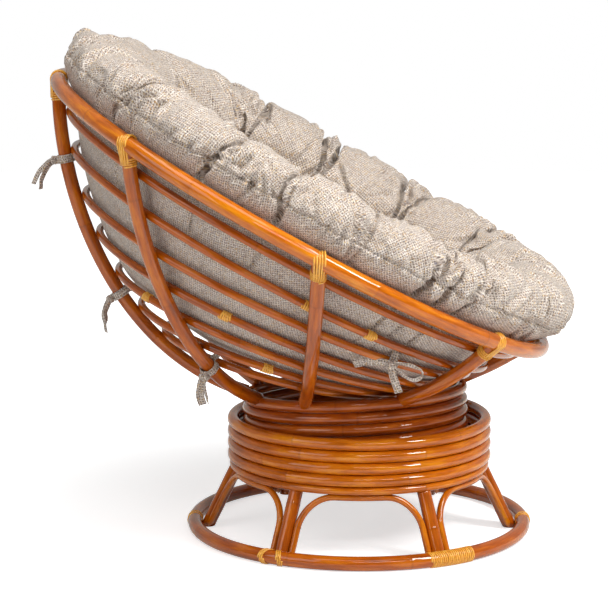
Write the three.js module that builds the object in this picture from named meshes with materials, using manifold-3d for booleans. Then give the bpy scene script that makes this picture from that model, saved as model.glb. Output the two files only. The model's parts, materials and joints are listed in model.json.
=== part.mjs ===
// Papasan chair on a round rattan base: a bowl of bent poles with a tufted cushion, which rocks on
// springs and turns on a ball race inside a drum of stacked rings. Millimetres, +Z up, front to -Y.
import * as THREE from "three";
import { mergeVertices } from "three/addons/utils/BufferGeometryUtils.js";
import Module from "manifold-3d";

const wasm = await Module();
wasm.setup();

const radians = THREE.MathUtils.degToRad;
const point = (x, y, z) => new THREE.Vector3(x, y, z);
const up = point(0, 0, 1);
const side = point(1, 0, 0);

// Driving sizes
const fitGap = 0.3; // between pieces that touch
const overrun = 30; // how far a cutting body passes what it cuts
const weld = 0.0003; // corners nearer than this are one corner

const floorRing = { radius: 341, pole: 29, sides: 10, steps: 36 };

const legs = { count: 6, pole: 28, topRadius: 252, firstDegrees: 30, sides: 10 };

const arches = { pole: 13.5, corner: 62, sides: 6, footHeight: 6, cornerSteps: 2, topSteps: 4 };

const lowerDrum = {
  outerRadius: 272.7, pole: 24, footPole: 16, rings: 4, bottom: 131.4, sides: 8, steps: 26,
};

const lowerBars = { pole: 24, apart: 140, sides: 8 };

const upperDrum = {
  clear: 15.7, pole: 24, rings: 4, setBack: 4.8,
  leanBackDegrees: 2.9, leanSideDegrees: 3.4, sides: 8, steps: 26,
};

const upperBars = { pole: 24, apart: 96, sides: 8 };

const rim = { radius: 559, pole: 32, back: 117.5, tiltDegrees: 29, sides: 8, steps: 48 };

// Half outline of the bowl from rim to bottom, as a curve whose second and third points are shares of
// the rim's radius and of the depth. The seat is how near its surface comes to the drum's top ring.
const bowl = { depth: 391.5, seat: 4.85, outlineShares: [[0.8667, 0.4003], [0.4751, 1]], outlineSteps: 48 };

const ribs = { count: 8, pole: 28, turnDegrees: 4.5, sides: 8, run: 68, hubBack: 124, lip: 8 };

const ribBinding = { thickness: 1.8, collarStart: 24, collarLength: 17, strapWidth: 23 };

const hoops = {
  pole: 16, sides: 6, steps: [32, 32, 32, 32, 24, 24, 24], clears: [1, 0.9, 1.5, 1.7, 1.6, 1.5, 1.6],
  downShares: [0.1175, 0.2947, 0.4341, 0.5748, 0.689, 0.783, 0.8551],
  tiltDegrees: [28.5, 28, 25.1, 23.6, 20.9, 18, 15.5],
};

const winding = { thickness: 2.2, width: 104, centreDegrees: 211 };

const plate = { length: 190, width: 170, thickness: 3 };
const race = { outerRadius: 74, innerRadius: 50, height: 8, sides: 24 };
const kingpin = { radius: 8, headRadius: 13, headHeight: 5, sides: 12 };
const turntable = { length: 190, width: 150, thickness: 4, earThickness: 5, earInset: 8, earRadius: 12 };
const axle = { radius: 8, headRadius: 12, headLength: 5, sides: 12 };
const rocker = {
  length: 190, width: 136, thickness: 4, clear: 1.8, lugThickness: 6, lugRadius: 11, lugInset: 22,
};
const springs = { radius: 14, wire: 3.5, curls: 3, forward: 72, aside: 34, stepsPerCurl: 8, sides: 5 };

const cushion = {
  clear: 2.3, puffDepth: 16, ringDepth: 9, tuftDepth: 15, rollHeight: 134, restSteps: 2,
  bottomShare: 0.779, restShare: 0.6386, mouthShare: 0.0358, seatShare: 0.4215,
  creaseDegrees: [9, 28, 44, 62, 88, 113, 142, 168, 196, 222, 248, 264, 296, 311, 331, 350],
  puffShares: [[0, 0], [0.15, 0.72], [0.5, 1], [0.85, 0.72]],
  bottomShares: [[0.4, 0.97], [0.75, 0.7]], coreShares: [0.8766, 0.149], innerCoreShares: [0.62, -1.04],
};
// Section of the cushion's roll down to its first ring of tufts, and of its hollow from there to past
// the second ring, as shares of the rim's radius out and of the roll's height up.
const rollShares = [
  [0.9803, 0.19], [1.022, 0.43], [1.024, 0.65], [0.985, 0.86], [0.91, 0.955], [0.83, 0.885], [0.763, 0.69],
];
const tuftShares = [0.705, 0.3];
const hollowShares = [[0.625, -0.12], [0.52, -0.505]];
const innerTuftShares = [0.4204, -0.821];

const ties = {
  width: 14, thickness: 2.4, tail: 78, spread: 16, knot: 11, loopLength: 46, sides: 8, steps: 3,
  onRibs: [{ rib: 4, share: 0.199 }, { rib: 4, share: 0.568 }, { rib: 5, share: 0.735 }],
  onHoop: { hoop: 2, degrees: 300 },
};

// Finishes
const finishes = {
  rattan: { color: 0xb4621f, roughness: 0.25, metalness: 0 },
  darkRattan: { color: 0x8a4417, roughness: 0.3, metalness: 0 },
  peel: { color: 0xd9952b, roughness: 0.45, metalness: 0 },
  steel: { color: 0x2b2b2d, roughness: 0.5, metalness: 0.6 },
  zinc: { color: 0xb9bcc0, roughness: 0.35, metalness: 1 },
  tweed: { color: 0xa89f92, roughness: 0.95, metalness: 0 },
};

const chair = new THREE.Group();

function addPiece(name, geometry, finish) {
  const mesh = new THREE.Mesh(geometry, new THREE.MeshStandardMaterial(finishes[finish]));
  mesh.name = name;
  chair.add(mesh);
  return mesh;
}

// Solids for joining and cutting

function solidOf(geometry, matrix = new THREE.Matrix4()) {
  const bare = new THREE.BufferGeometry();
  const placed = (geometry.index ? geometry.toNonIndexed() : geometry.clone()).applyMatrix4(matrix);
  bare.setAttribute("position", placed.getAttribute("position"));
  const merged = mergeVertices(bare, weld);
  return new wasm.Manifold(new wasm.Mesh({
    numProp: 3,
    vertProperties: merged.attributes.position.array,
    triVerts: new Uint32Array(merged.index.array),
  }));
}

function geometryOf(solid) {
  const mesh = solid.getMesh();
  const geometry = new THREE.BufferGeometry();
  const places = new Float32Array(mesh.numVert * mesh.numProp);
  places.set(mesh.vertProperties.subarray(0, places.length));
  geometry.setAttribute("position", new THREE.BufferAttribute(places, mesh.numProp));
  geometry.setIndex(new THREE.BufferAttribute(new Uint32Array(mesh.triVerts), 1));
  return geometry;
}

// The part of a cut solid that is left when its offcuts are thrown away.
function largestOf(solid) {
  const bodies = solid.decompose();
  return bodies.reduce((kept, body) => (body.volume() > kept.volume() ? body : kept), bodies[0]);
}

function placedAt(position, rotation = new THREE.Quaternion()) {
  return new THREE.Matrix4().compose(position, rotation, point(1, 1, 1));
}

const turnBetween = (from, to) => new THREE.Quaternion().setFromUnitVectors(from, to);

function circleShape(radius, sides) {
  const corners = [];
  for (let i = 0; i < sides; i += 1) {
    const angle = (Math.PI * (2 * i + 1)) / sides;
    corners.push(new THREE.Vector2(radius * Math.cos(angle), radius * Math.sin(angle)));
  }
  return new THREE.Shape(corners);
}

function bentPole(places, radius, sides, steps) {
  const extrudePath = new THREE.CatmullRomCurve3(places);
  return new THREE.ExtrudeGeometry(circleShape(radius, sides), { steps, extrudePath, bevelEnabled: false });
}

function straightPole(from, to, radius, sides) {
  const length = from.distanceTo(to);
  const direction = to.clone().sub(from).normalize();
  const bar = new THREE.CylinderGeometry(radius, radius, length, sides);
  const middle = from.clone().lerp(to, 1 / 2);
  return bar.applyMatrix4(placedAt(middle, turnBetween(point(0, 1, 0), direction)));
}

// A closed tube whose centre line lies in one plane.
function loopTube(places, planeNormal, radius, sides) {
  const count = places.length;
  const corners = [];
  places.forEach((place, i) => {
    const ahead = places[(i + 1) % count].clone().sub(places[(i + count - 1) % count]).normalize();
    const outward = ahead.clone().cross(planeNormal);
    for (let j = 0; j < sides; j += 1) {
      const angle = (2 * Math.PI * j) / sides;
      const corner = place.clone().addScaledVector(outward, radius * Math.cos(angle));
      corners.push(...corner.addScaledVector(planeNormal, radius * Math.sin(angle)).toArray());
    }
  });
  const faces = [];
  for (let i = 0; i < count; i += 1) {
    for (let j = 0; j < sides; j += 1) {
      const a = i * sides + j;
      const b = i * sides + ((j + 1) % sides);
      const c = ((i + 1) % count) * sides + ((j + 1) % sides);
      const d = ((i + 1) % count) * sides + j;
      faces.push(a, c, b, a, d, c);
    }
  }
  const geometry = new THREE.BufferGeometry();
  geometry.setAttribute("position", new THREE.Float32BufferAttribute(corners, 3));
  geometry.setIndex(faces);
  return geometry;
}

// A round ring about an axis through its centre.
function poleRing(centre, axis, radius, poleRadius, sides, steps) {
  const ring = new THREE.TorusGeometry(radius, poleRadius, sides, steps);
  return ring.applyMatrix4(placedAt(centre, turnBetween(up, axis)));
}

const atAngle = (radius, angle, height) => point(radius * Math.cos(angle), radius * Math.sin(angle), height);

function belowFloor() {
  const reach = 2 * floorRing.radius + 2 * overrun;
  const slab = new THREE.BoxGeometry(reach, reach, overrun * 2);
  return solidOf(slab, placedAt(point(0, 0, -overrun)));
}

// Base: floor ring, legs, arches and the lower drum

const floorRingHeight = (floorRing.pole / 2) * Math.cos(Math.PI / floorRing.sides);
const drumRingRadius = lowerDrum.outerRadius - lowerDrum.pole / 2;
const drumFootHeight = lowerDrum.bottom + lowerDrum.footPole / 2;
const lowerRingHeights = Array.from({ length: lowerDrum.rings }, (_, i) =>
  lowerDrum.bottom + lowerDrum.footPole + fitGap + lowerDrum.pole / 2 + i * (lowerDrum.pole + fitGap));

function makeFloorRing(swell = 0) {
  const { radius, pole, sides, steps } = floorRing;
  return poleRing(point(0, 0, floorRingHeight), up, radius, pole / 2 + swell, sides, steps);
}

// A short sleeve round a ring, of a width along the ring at a place on it.
function wrapSolid(makeRing, thickness, place, along, width) {
  const block = new THREE.BoxGeometry(2 * overrun, 2 * overrun, width);
  const cutter = solidOf(block, placedAt(place, turnBetween(up, along)));
  return solidOf(makeRing(fitGap + thickness)).intersect(cutter);
}

function drumFootRing(swell = 0) {
  const { footPole, sides, steps } = lowerDrum;
  return poleRing(point(0, 0, drumFootHeight), up, drumRingRadius, footPole / 2 + swell, sides, steps);
}

function lowerRing(index, swell = 0) {
  const { pole, sides, steps } = lowerDrum;
  return poleRing(point(0, 0, lowerRingHeights[index]), up, drumRingRadius, pole / 2 + swell, sides, steps);
}

// A leg leans in from the floor ring's inner side to the underside of the drum.
const legSlope = (() => {
  const rise = lowerDrum.bottom - floorRingHeight;
  const apart = (floorRing.pole + legs.pole) / 2 + fitGap;
  let run = 0;
  for (let i = 0; i < legs.count; i += 1) {
    run = floorRing.radius - apart * Math.hypot(1, run / rise) - legs.topRadius;
  }
  return run / rise;
})();
const legRadiusAt = (height) => legs.topRadius + legSlope * (lowerDrum.bottom - height);

function legPole(index, swell = 0) {
  const angle = radians(legs.firstDegrees) + (2 * Math.PI * index) / legs.count;
  const foot = atAngle(legRadiusAt(-legs.pole), angle, -legs.pole);
  const head = atAngle(legRadiusAt(drumFootHeight), angle, drumFootHeight);
  return solidOf(straightPole(foot, head, legs.pole / 2 + swell, legs.sides));
}

function makeLeg(index) {
  const cut = legPole(index).subtract(belowFloor()).subtract(solidOf(drumFootRing(fitGap)));
  return geometryOf(largestOf(cut.subtract(windingSolid(fitGap))));
}

// An arch stands beside two legs and runs under the drum between them.
function makeArch(index) {
  const { pole, corner, sides, footHeight, cornerSteps, topSteps } = arches;
  const pitch = (2 * Math.PI) / legs.count;
  const middle = radians(legs.firstDegrees) + pitch * (index + 1 / 2);
  const topHeight = lowerDrum.bottom - (pole / 2) * Math.cos(Math.PI / sides) - fitGap;
  const aside = legs.pole / 2 + pole / 2 + fitGap;
  const half = (height) => pitch / 2 - Math.asin(aside / legRadiusAt(height));
  const rightHalf = [];
  const onCone = (angle, height) => atAngle(legRadiusAt(height), angle, height);
  rightHalf.push([half(footHeight), footHeight]);
  rightHalf.push([half((topHeight - corner) / 2), (topHeight - corner) / 2]);
  const cornerAngle = corner / legRadiusAt(topHeight);
  for (let i = 0; i <= cornerSteps; i += 1) {
    const turn = ((Math.PI / 2) * i) / cornerSteps;
    const height = topHeight - corner * (1 - Math.sin(turn));
    rightHalf.push([half(height) - cornerAngle * (1 - Math.cos(turn)), height]);
  }
  const flatHalf = half(topHeight) - cornerAngle;
  const places = rightHalf.map(([angle, height]) => onCone(angle, height));
  for (let i = 1; i < topSteps; i += 1) {
    places.push(onCone(flatHalf * (1 - (2 * i) / topSteps), topHeight));
  }
  rightHalf.reverse().forEach(([angle, height]) => places.push(onCone(-angle, height)));
  let arch = solidOf(bentPole(places, pole / 2, sides, places.length).rotateZ(middle));
  [legPole(index, fitGap / 2), legPole(index + 1, fitGap / 2)].forEach((leg) => {
    arch = arch.subtract(leg);
  });
  arch = arch.subtract(solidOf(drumFootRing(fitGap / 2)));
  return geometryOf(largestOf(arch));
}

// Turns of peel round the floor ring where its two ends meet.
function windingSolid(swell = 0) {
  const { thickness, width, centreDegrees } = winding;
  const angle = radians(centreDegrees);
  const place = atAngle(floorRing.radius, angle, floorRingHeight);
  const along = point(-Math.sin(angle), Math.cos(angle), 0);
  return wrapSolid(makeFloorRing, thickness + swell, place, along, width + 2 * swell);
}

function makeWinding() {
  return geometryOf(windingSolid().subtract(solidOf(makeFloorRing(fitGap))).subtract(belowFloor()));
}

// Bars across the lower drum that carry the swivel.
const lowerBarHeight = lowerDrum.bottom + fitGap + lowerBars.pole / 2;

function makeLowerBar(sign) {
  const x = (sign * lowerBars.apart) / 2;
  const reach = Math.sqrt(drumRingRadius ** 2 - x ** 2);
  const ends = [point(x, -reach, lowerBarHeight), point(x, reach, lowerBarHeight)];
  const bar = solidOf(straightPole(...ends, lowerBars.pole / 2, lowerBars.sides));
  const cut = bar.subtract(solidOf(drumFootRing(fitGap))).subtract(solidOf(lowerRing(0, fitGap)));
  return geometryOf(largestOf(cut));
}

// Swivel and rocker stand on the lower bars, one piece on the other.
const barTop = lowerBarHeight + lowerBars.pole / 2;
const plateFoot = barTop + fitGap;
const raceFoot = plateFoot + plate.thickness + fitGap;
const turntableFoot = raceFoot + race.height + fitGap;
const turntableTop = turntableFoot + turntable.thickness;
const axleRise = Math.max(axle.headRadius, fitGap + kingpin.headHeight + axle.radius) + 1.5 * fitGap;
const axlePlace = point(0, 0, turntableTop + axleRise);
const rockerLift = turntable.earRadius + rocker.clear + rocker.thickness;

// Upper drum, which leans with the seat

const leanBack = new THREE.Quaternion().setFromAxisAngle(side, -radians(upperDrum.leanBackDegrees));
const leanSide = new THREE.Quaternion().setFromAxisAngle(point(0, 1, 0), radians(upperDrum.leanSideDegrees));
const seatUp = up.clone().applyQuaternion(leanBack);
const ringUp = up.clone().applyQuaternion(leanSide).applyQuaternion(leanBack);
const upperRingRadius = drumRingRadius - (lowerDrum.pole + upperDrum.pole) / 2 - upperDrum.clear;
const upperPitch = (upperDrum.pole + fitGap) / Math.cos(radians(upperDrum.leanSideDegrees));
const lastUpper = upperDrum.rings - 1;
const lowestRise = rockerLift + fitGap + upperBars.pole / 2;
const upperRingCentre = (index) => axlePlace.clone()
  .addScaledVector(seatUp, lowestRise + (lastUpper - index) * upperPitch)
  .add(point(0, upperDrum.setBack, 0));
const upperTop = upperRingCentre(0);

function upperRing(index, swell = 0) {
  const { pole, sides, steps } = upperDrum;
  return poleRing(upperRingCentre(index), ringUp, upperRingRadius, pole / 2 + swell, sides, steps);
}

function makeUpperBar(sign) {
  const x = (sign * upperBars.apart) / 2;
  const along = point(0, 1, 0).applyQuaternion(leanBack);
  const middle = upperRingCentre(lastUpper).add(point(x, 0, 0));
  const reach = Math.sqrt(upperRingRadius ** 2 - x ** 2);
  const ends = [-reach, reach].map((distance) => middle.clone().addScaledVector(along, distance));
  let bar = solidOf(straightPole(...ends, upperBars.pole / 2, upperBars.sides));
  [lastUpper, lastUpper - 1].forEach((index) => {
    bar = bar.subtract(solidOf(upperRing(index, fitGap)));
  });
  return geometryOf(largestOf(bar));
}

// Bowl: a revolved surface about the rim's tilted axis, on which ribs and hoops lie

const rimTurn = new THREE.Quaternion().setFromAxisAngle(side, radians(rim.tiltDegrees));
const rimUp = up.clone().applyQuaternion(rimTurn);
const rimFront = point(0, -1, 0).applyQuaternion(rimTurn);

const bowlOutline = new THREE.CubicBezierCurve(
  new THREE.Vector2(rim.radius, 0),
  ...bowl.outlineShares.map(([out, down]) => new THREE.Vector2(rim.radius * out, bowl.depth * down)),
  new THREE.Vector2(0, bowl.depth),
).getPoints(bowl.outlineSteps);

// The bowl's outline moved in by a distance, as pairs of radius and depth.
function insetOutline(inset) {
  return bowlOutline.map((place, i) => {
    const before = bowlOutline[Math.max(i - 1, 0)];
    const after = bowlOutline[Math.min(i + 1, bowl.outlineSteps)];
    const ahead = after.clone().sub(before).normalize();
    return new THREE.Vector2(place.x - inset * ahead.y, place.y + inset * ahead.x);
  });
}

function radiusAtDepth(outline, depth) {
  if (depth <= outline[0].y) return outline[0].x;
  for (let i = 1; i < outline.length; i += 1) {
    if (depth <= outline[i].y) {
      const share = (depth - outline[i - 1].y) / (outline[i].y - outline[i - 1].y);
      return THREE.MathUtils.lerp(outline[i - 1].x, outline[i].x, share);
    }
  }
  return 0;
}

// How far outside the bowl's surface the drum's top ring stays, with the rim's centre at a height.
function ringClearance(height) {
  const places = [];
  for (let i = 0; i < upperDrum.steps; i += 1) {
    const around = atAngle(upperRingRadius, (2 * Math.PI * i) / upperDrum.steps, 0);
    const offset = around.applyQuaternion(leanSide).applyQuaternion(leanBack).add(upperTop);
    offset.sub(point(0, rim.back, height));
    places.push(new THREE.Vector2(Math.hypot(offset.dot(rimFront), offset.dot(side)), -offset.dot(rimUp)));
  }
  return Math.min(...places.map((place) => {
    const distance = Math.min(...bowlOutline.map((corner) => corner.distanceTo(place)));
    return place.x < radiusAtDepth(bowlOutline, place.y) ? -distance : distance;
  }));
}

// The bowl is let down until its surface comes as near the drum's top ring as its seat says.
const rimCentre = (() => {
  let low = upperTop.z;
  let high = upperTop.z + 2 * bowl.depth;
  while (high - low > weld) {
    const middle = (low + high) / 2;
    if (ringClearance(middle) < bowl.seat) low = middle;
    else high = middle;
  }
  return point(0, rim.back, high);
})();

// Where a ray from inside the bowl meets its surface, moved in by a distance.
function onBowl(from, direction, outline) {
  let inside = 0;
  let outside = 2 * rim.radius;
  while (outside - inside > weld) {
    const middle = (inside + outside) / 2;
    const offset = from.clone().addScaledVector(direction, middle).sub(rimCentre);
    const depth = -offset.dot(rimUp);
    const out = Math.hypot(offset.dot(rimFront), offset.dot(side));
    if (out < radiusAtDepth(outline, depth)) inside = middle;
    else outside = middle;
  }
  return from.clone().addScaledVector(direction, inside);
}

// The rim's corners are set so that each rib meets it in the middle of a side.
function makeRim(swell = 0) {
  const ring = new THREE.TorusGeometry(rim.radius, rim.pole / 2 + swell, rim.sides, rim.steps);
  ring.rotateZ(radians(ribs.turnDegrees) + Math.PI / rim.steps);
  return ring.applyMatrix4(placedAt(rimCentre, rimTurn));
}

const hubPlace = point(0, ribs.hubBack, upperTop.z);

function ribPlane(index) {
  const angle = radians(ribs.turnDegrees) + (2 * Math.PI * index) / ribs.count;
  const out = rimFront.clone().multiplyScalar(Math.cos(angle)).addScaledVector(side, Math.sin(angle));
  const down = hubPlace.clone().sub(rimCentre);
  down.addScaledVector(out, -down.dot(out)).normalize();
  return { angle, out, down };
}

function ringDistance(place) {
  const offset = place.clone().sub(upperTop);
  const height = offset.dot(ringUp);
  const out = offset.addScaledVector(ringUp, -height).length() - upperRingRadius;
  return Math.hypot(height, out);
}

// A rib's centre line from the rim down to where it comes nearest the upper drum's top ring.
function ribLine(index) {
  const { out, down } = ribPlane(index);
  const outline = insetOutline(0);
  const at = (turn) => onBowl(rimCentre,
    out.clone().multiplyScalar(Math.cos(turn)).addScaledVector(down, Math.sin(turn)), outline);
  const trials = bowl.outlineSteps * 4;
  const trail = [at(0)];
  for (let i = 1; i <= trials; i += 1) {
    const place = at((Math.PI * i) / trials);
    if (ringDistance(place) > ringDistance(trail[i - 1])) break;
    trail.push(place);
  }
  const line = new THREE.CatmullRomCurve3(trail);
  const runs = Math.ceil(line.getLength() / ribs.run);
  const places = line.getSpacedPoints(runs);
  places[runs].addScaledVector(line.getTangentAt(1), ribs.lip);
  return places;
}

const ribLines = Array.from({ length: ribs.count }, (_, index) => ribLine(index));

function ribPole(index, swell = 0) {
  const places = ribLines[index];
  return solidOf(bentPole(places, ribs.pole / 2 + swell, ribs.sides, places.length - 1));
}

// A place on one of the straight runs that a bent pole is made of, and the run's direction.
function placeAlong(places, distance) {
  const curve = new THREE.CatmullRomCurve3(places);
  const runs = places.length - 1;
  const step = (distance / curve.getLength()) * runs;
  const from = curve.getPointAt(Math.floor(step) / runs);
  const to = curve.getPointAt((Math.floor(step) + 1) / runs);
  return { place: from.clone().lerp(to, step % 1), ahead: to.sub(from).normalize() };
}

// Peel wound round a rib's head and over the rim.
function ribBindingSolid(index, places) {
  const { thickness, collarStart, collarLength, strapWidth } = ribBinding;
  const { angle } = ribPlane(index);
  const starts = [collarStart, collarStart + collarLength];
  const ends = starts.map((distance) => placeAlong(places, distance).place);
  const collar = solidOf(straightPole(...ends, ribs.pole / 2 + thickness, ribs.sides));
  const along = side.clone().multiplyScalar(Math.cos(angle)).addScaledVector(rimFront, -Math.sin(angle));
  return collar.add(wrapSolid(makeRim, thickness, places[0], along, strapWidth));
}

function makeRib(index) {
  let rib = ribPole(index).add(ribBindingSolid(index, ribLines[index]));
  [makeRim(fitGap), upperRing(0, fitGap), upperRing(1, fitGap)].forEach((ring) => {
    rib = rib.subtract(solidOf(ring));
  });
  return geometryOf(largestOf(rib));
}

// How far inside the ribs' centre lines a hoop's own centre line lies, for a clearance.
const hoopInset = (clear) => (ribs.pole / 2) * Math.cos(Math.PI / ribs.sides) + hoops.pole / 2 + clear;

// A hoop lies in a tilted plane just inside the ribs.
function hoopLine(index) {
  const turn = new THREE.Quaternion().setFromAxisAngle(side, radians(hoops.tiltDegrees[index]));
  const centre = rimCentre.clone().lerp(hubPlace, hoops.downShares[index]);
  const front = point(0, -1, 0).applyQuaternion(turn);
  const outline = insetOutline(hoopInset(hoops.clears[index]));
  const places = [];
  for (let i = 0; i < hoops.steps[index]; i += 1) {
    const angle = radians(ribs.turnDegrees) + (2 * Math.PI * i) / hoops.steps[index];
    const direction = front.clone().multiplyScalar(Math.cos(angle)).addScaledVector(side, Math.sin(angle));
    places.push(onBowl(centre, direction, outline));
  }
  return { places, normal: up.clone().applyQuaternion(turn) };
}

function makeHoop(index, swell = 0) {
  const { places, normal } = hoopLine(index);
  return loopTube(places, normal, hoops.pole / 2 + swell, hoops.sides);
}

// Swivel and rocker between the two drums

function plateSolid(width, length, thickness, foot) {
  const sheetMetal = new THREE.BoxGeometry(width, length, thickness);
  return solidOf(sheetMetal, placedAt(point(0, 0, foot + thickness / 2)));
}

function uprightPin(radius, foot, head, sides) {
  return solidOf(straightPole(point(0, 0, foot), point(0, 0, head), radius, sides));
}

function crossPin(radius, from, to) {
  const ends = [from, to].map((x) => axlePlace.clone().setX(x));
  return solidOf(straightPole(...ends, radius, axle.sides));
}

// A plate standing across the axle: a foot that narrows to a round eye.
function cheekSolid(foot, halfFoot, eyeRadius, thickness, x) {
  const outline = new THREE.Shape();
  outline.moveTo(-halfFoot, foot - axlePlace.z);
  outline.lineTo(halfFoot, foot - axlePlace.z);
  outline.lineTo(eyeRadius, 0);
  if (foot < axlePlace.z) outline.absarc(0, 0, eyeRadius, 0, Math.PI, false);
  else outline.absarc(0, 0, eyeRadius, 0, -Math.PI, true);
  const sheet = new THREE.ExtrudeGeometry(outline,
    { depth: thickness, bevelEnabled: false, curveSegments: axle.sides / 2 });
  const across = new THREE.Matrix4().makeBasis(point(0, 1, 0), up, side);
  across.setPosition(x - thickness / 2, 0, axlePlace.z);
  return solidOf(sheet, across);
}

function makeSwivelPlate() {
  const sheet = plateSolid(plate.width, plate.length, plate.thickness, plateFoot);
  const bore = uprightPin(kingpin.radius + fitGap, plateFoot - overrun, plateFoot + overrun, kingpin.sides);
  return geometryOf(sheet.subtract(bore));
}

function makeRace() {
  const { outerRadius, innerRadius, height, sides } = race;
  const outer = [[innerRadius, 0], [outerRadius, 0], [outerRadius, height], [innerRadius, height]];
  const corners = [...outer, outer[0]];
  const ring = new THREE.LatheGeometry(corners.map(([x, y]) => new THREE.Vector2(x, y)), sides);
  return ring.applyMatrix4(placedAt(point(0, 0, raceFoot), turnBetween(point(0, 1, 0), up)));
}

function makeKingpin() {
  const { radius, headRadius, headHeight, sides } = kingpin;
  const low = plateFoot - fitGap;
  const high = turntableTop + fitGap;
  const shaft = uprightPin(radius, low - headHeight, high + headHeight, sides);
  const head = uprightPin(headRadius, low - headHeight, low, sides);
  const nut = uprightPin(headRadius, high, high + headHeight, sides);
  return geometryOf(shaft.add(head).add(nut));
}

const earX = turntable.width / 2 - turntable.earInset;

function makeTurntable() {
  const { width, length, thickness, earThickness, earRadius } = turntable;
  let body = plateSolid(width, length, thickness, turntableFoot);
  [-earX, earX].forEach((x) => {
    body = body.add(cheekSolid(turntableFoot + thickness / 2, 2 * earRadius, earRadius, earThickness, x));
  });
  const pinBore = uprightPin(kingpin.radius + fitGap, turntableFoot - overrun, axlePlace.z, kingpin.sides);
  return geometryOf(body.subtract(pinBore).subtract(crossPin(axle.radius + fitGap, -width, width)));
}

function makeAxle() {
  const reach = earX + turntable.earThickness / 2 + fitGap;
  let pin = crossPin(axle.radius, -reach - axle.headLength, reach + axle.headLength);
  [-1, 1].forEach((sign) => {
    pin = pin.add(crossPin(axle.headRadius, sign * reach, sign * (reach + axle.headLength)));
  });
  return geometryOf(pin);
}

function makeRocker() {
  const { width, length, thickness, lugThickness, lugRadius, lugInset } = rocker;
  const top = axlePlace.z + rockerLift;
  let body = plateSolid(width, length, thickness, top - thickness);
  const lugX = width / 2 - lugInset;
  [-lugX, lugX].forEach((x) => {
    body = body.add(cheekSolid(top - thickness / 2, 2 * lugRadius, lugRadius, lugThickness, x));
  });
  body = body.subtract(crossPin(axle.radius + fitGap, -width, width));
  const lean = placedAt(axlePlace, leanBack).multiply(placedAt(axlePlace.clone().negate()));
  return geometryOf(body).applyMatrix4(lean);
}

const springPlaces = [[-1, -1], [1, -1], [-1, 1], [1, 1]].map(
  ([x, y]) => [x * springs.aside, y * springs.forward]);

// Centre line of one coil spring, from the turntable up to the leaning rocker plate.
function springLine(x, y) {
  const { radius, wire, curls, stepsPerCurl } = springs;
  const under = rockerLift - rocker.thickness;
  const low = turntableTop + fitGap + wire / 2;
  const tilt = Math.tan(radians(upperDrum.leanBackDegrees));
  const high = axlePlace.z + under * Math.hypot(1, tilt) - tilt * (y + radius) - fitGap - wire;
  const places = [];
  for (let i = 0; i <= curls * stepsPerCurl; i += 1) {
    const share = i / (curls * stepsPerCurl);
    const angle = 2 * Math.PI * curls * share;
    const height = THREE.MathUtils.lerp(low, high, share);
    places.push(point(x + radius * Math.cos(angle), y + radius * Math.sin(angle), height));
  }
  return places;
}

function leastGap(places, apart, wire) {
  let least = Infinity;
  for (let i = 0; i < places.length; i += 1) {
    for (let j = i + apart; j < places.length; j += 1) {
      least = Math.min(least, places[i].distanceTo(places[j]) - wire);
    }
  }
  return least;
}

function makeSpring(x, y) {
  const places = springLine(x, y);
  const gap = leastGap(places, springs.stepsPerCurl - 1, springs.wire);
  console.log(`spring at ${x}, ${y}: least gap between curls ${gap.toFixed(2)} mm`);
  return bentPole(places, springs.wire / 2, springs.sides, places.length - 1);
}

// Cushion: a thick round pad that follows the hoops and rolls over the rim in sewn puffs

// Rows of the section as distance out, height over the rim's plane, shares of the outer and the inner
// puffs' depth, and depth of the ring of tufts that the row is.
function cushionSection() {
  const { clear, restSteps, bottomShares, rollHeight, ringDepth } = cushion;
  const restDepth = cushion.restShare * bowl.depth;
  const outline = insetOutline(hoopInset(Math.max(...hoops.clears)) + hoops.pole / 2 + clear);
  const restOut = radiusAtDepth(outline, restDepth);
  const section = bottomShares.map(([out, down]) => [
    out * restOut, -THREE.MathUtils.lerp(restDepth, cushion.bottomShare * bowl.depth, down), 0, 0, 0]);
  for (let i = 0; i <= restSteps; i += 1) {
    const depth = THREE.MathUtils.lerp(restDepth, cushion.mouthShare * bowl.depth, i / restSteps);
    section.push([radiusAtDepth(outline, depth), -depth, 0, 0, 0]);
  }
  const addRows = (shares, outer, inner, ring) => shares.forEach(([out, height]) => {
    section.push([out * rim.radius, height * rollHeight, outer, inner, ring]);
  });
  addRows(rollShares, 1, 0, 0);
  addRows([tuftShares], 1, 0, ringDepth);
  addRows(hollowShares, 0, 1, 0);
  addRows([innerTuftShares], 0, 1, ringDepth);
  return section;
}

// Angles round the cushion, each with the depth that is left of a crease there, outside and further in,
// where every second crease runs on.
function cushionColumns() {
  const { creaseDegrees, puffShares } = cushion;
  const columns = [];
  creaseDegrees.forEach((degrees, i) => {
    const next = i + 1 < creaseDegrees.length ? creaseDegrees[i + 1] : creaseDegrees[0] + 360;
    puffShares.forEach(([share, fullness], k) => {
      const across = i % 2 ? 1 - share : share;
      const inner = across === 0 ? 1 : (1 - puffShares[1][1]) * Math.max(0, 1 - across / puffShares[2][0]);
      columns.push({
        angle: radians(THREE.MathUtils.lerp(degrees, next, share)),
        crease: 1 - fullness, innerCrease: i % 2 && k === 0 ? 0 : inner, tuft: k === 0,
      });
    });
  });
  return columns;
}

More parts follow.
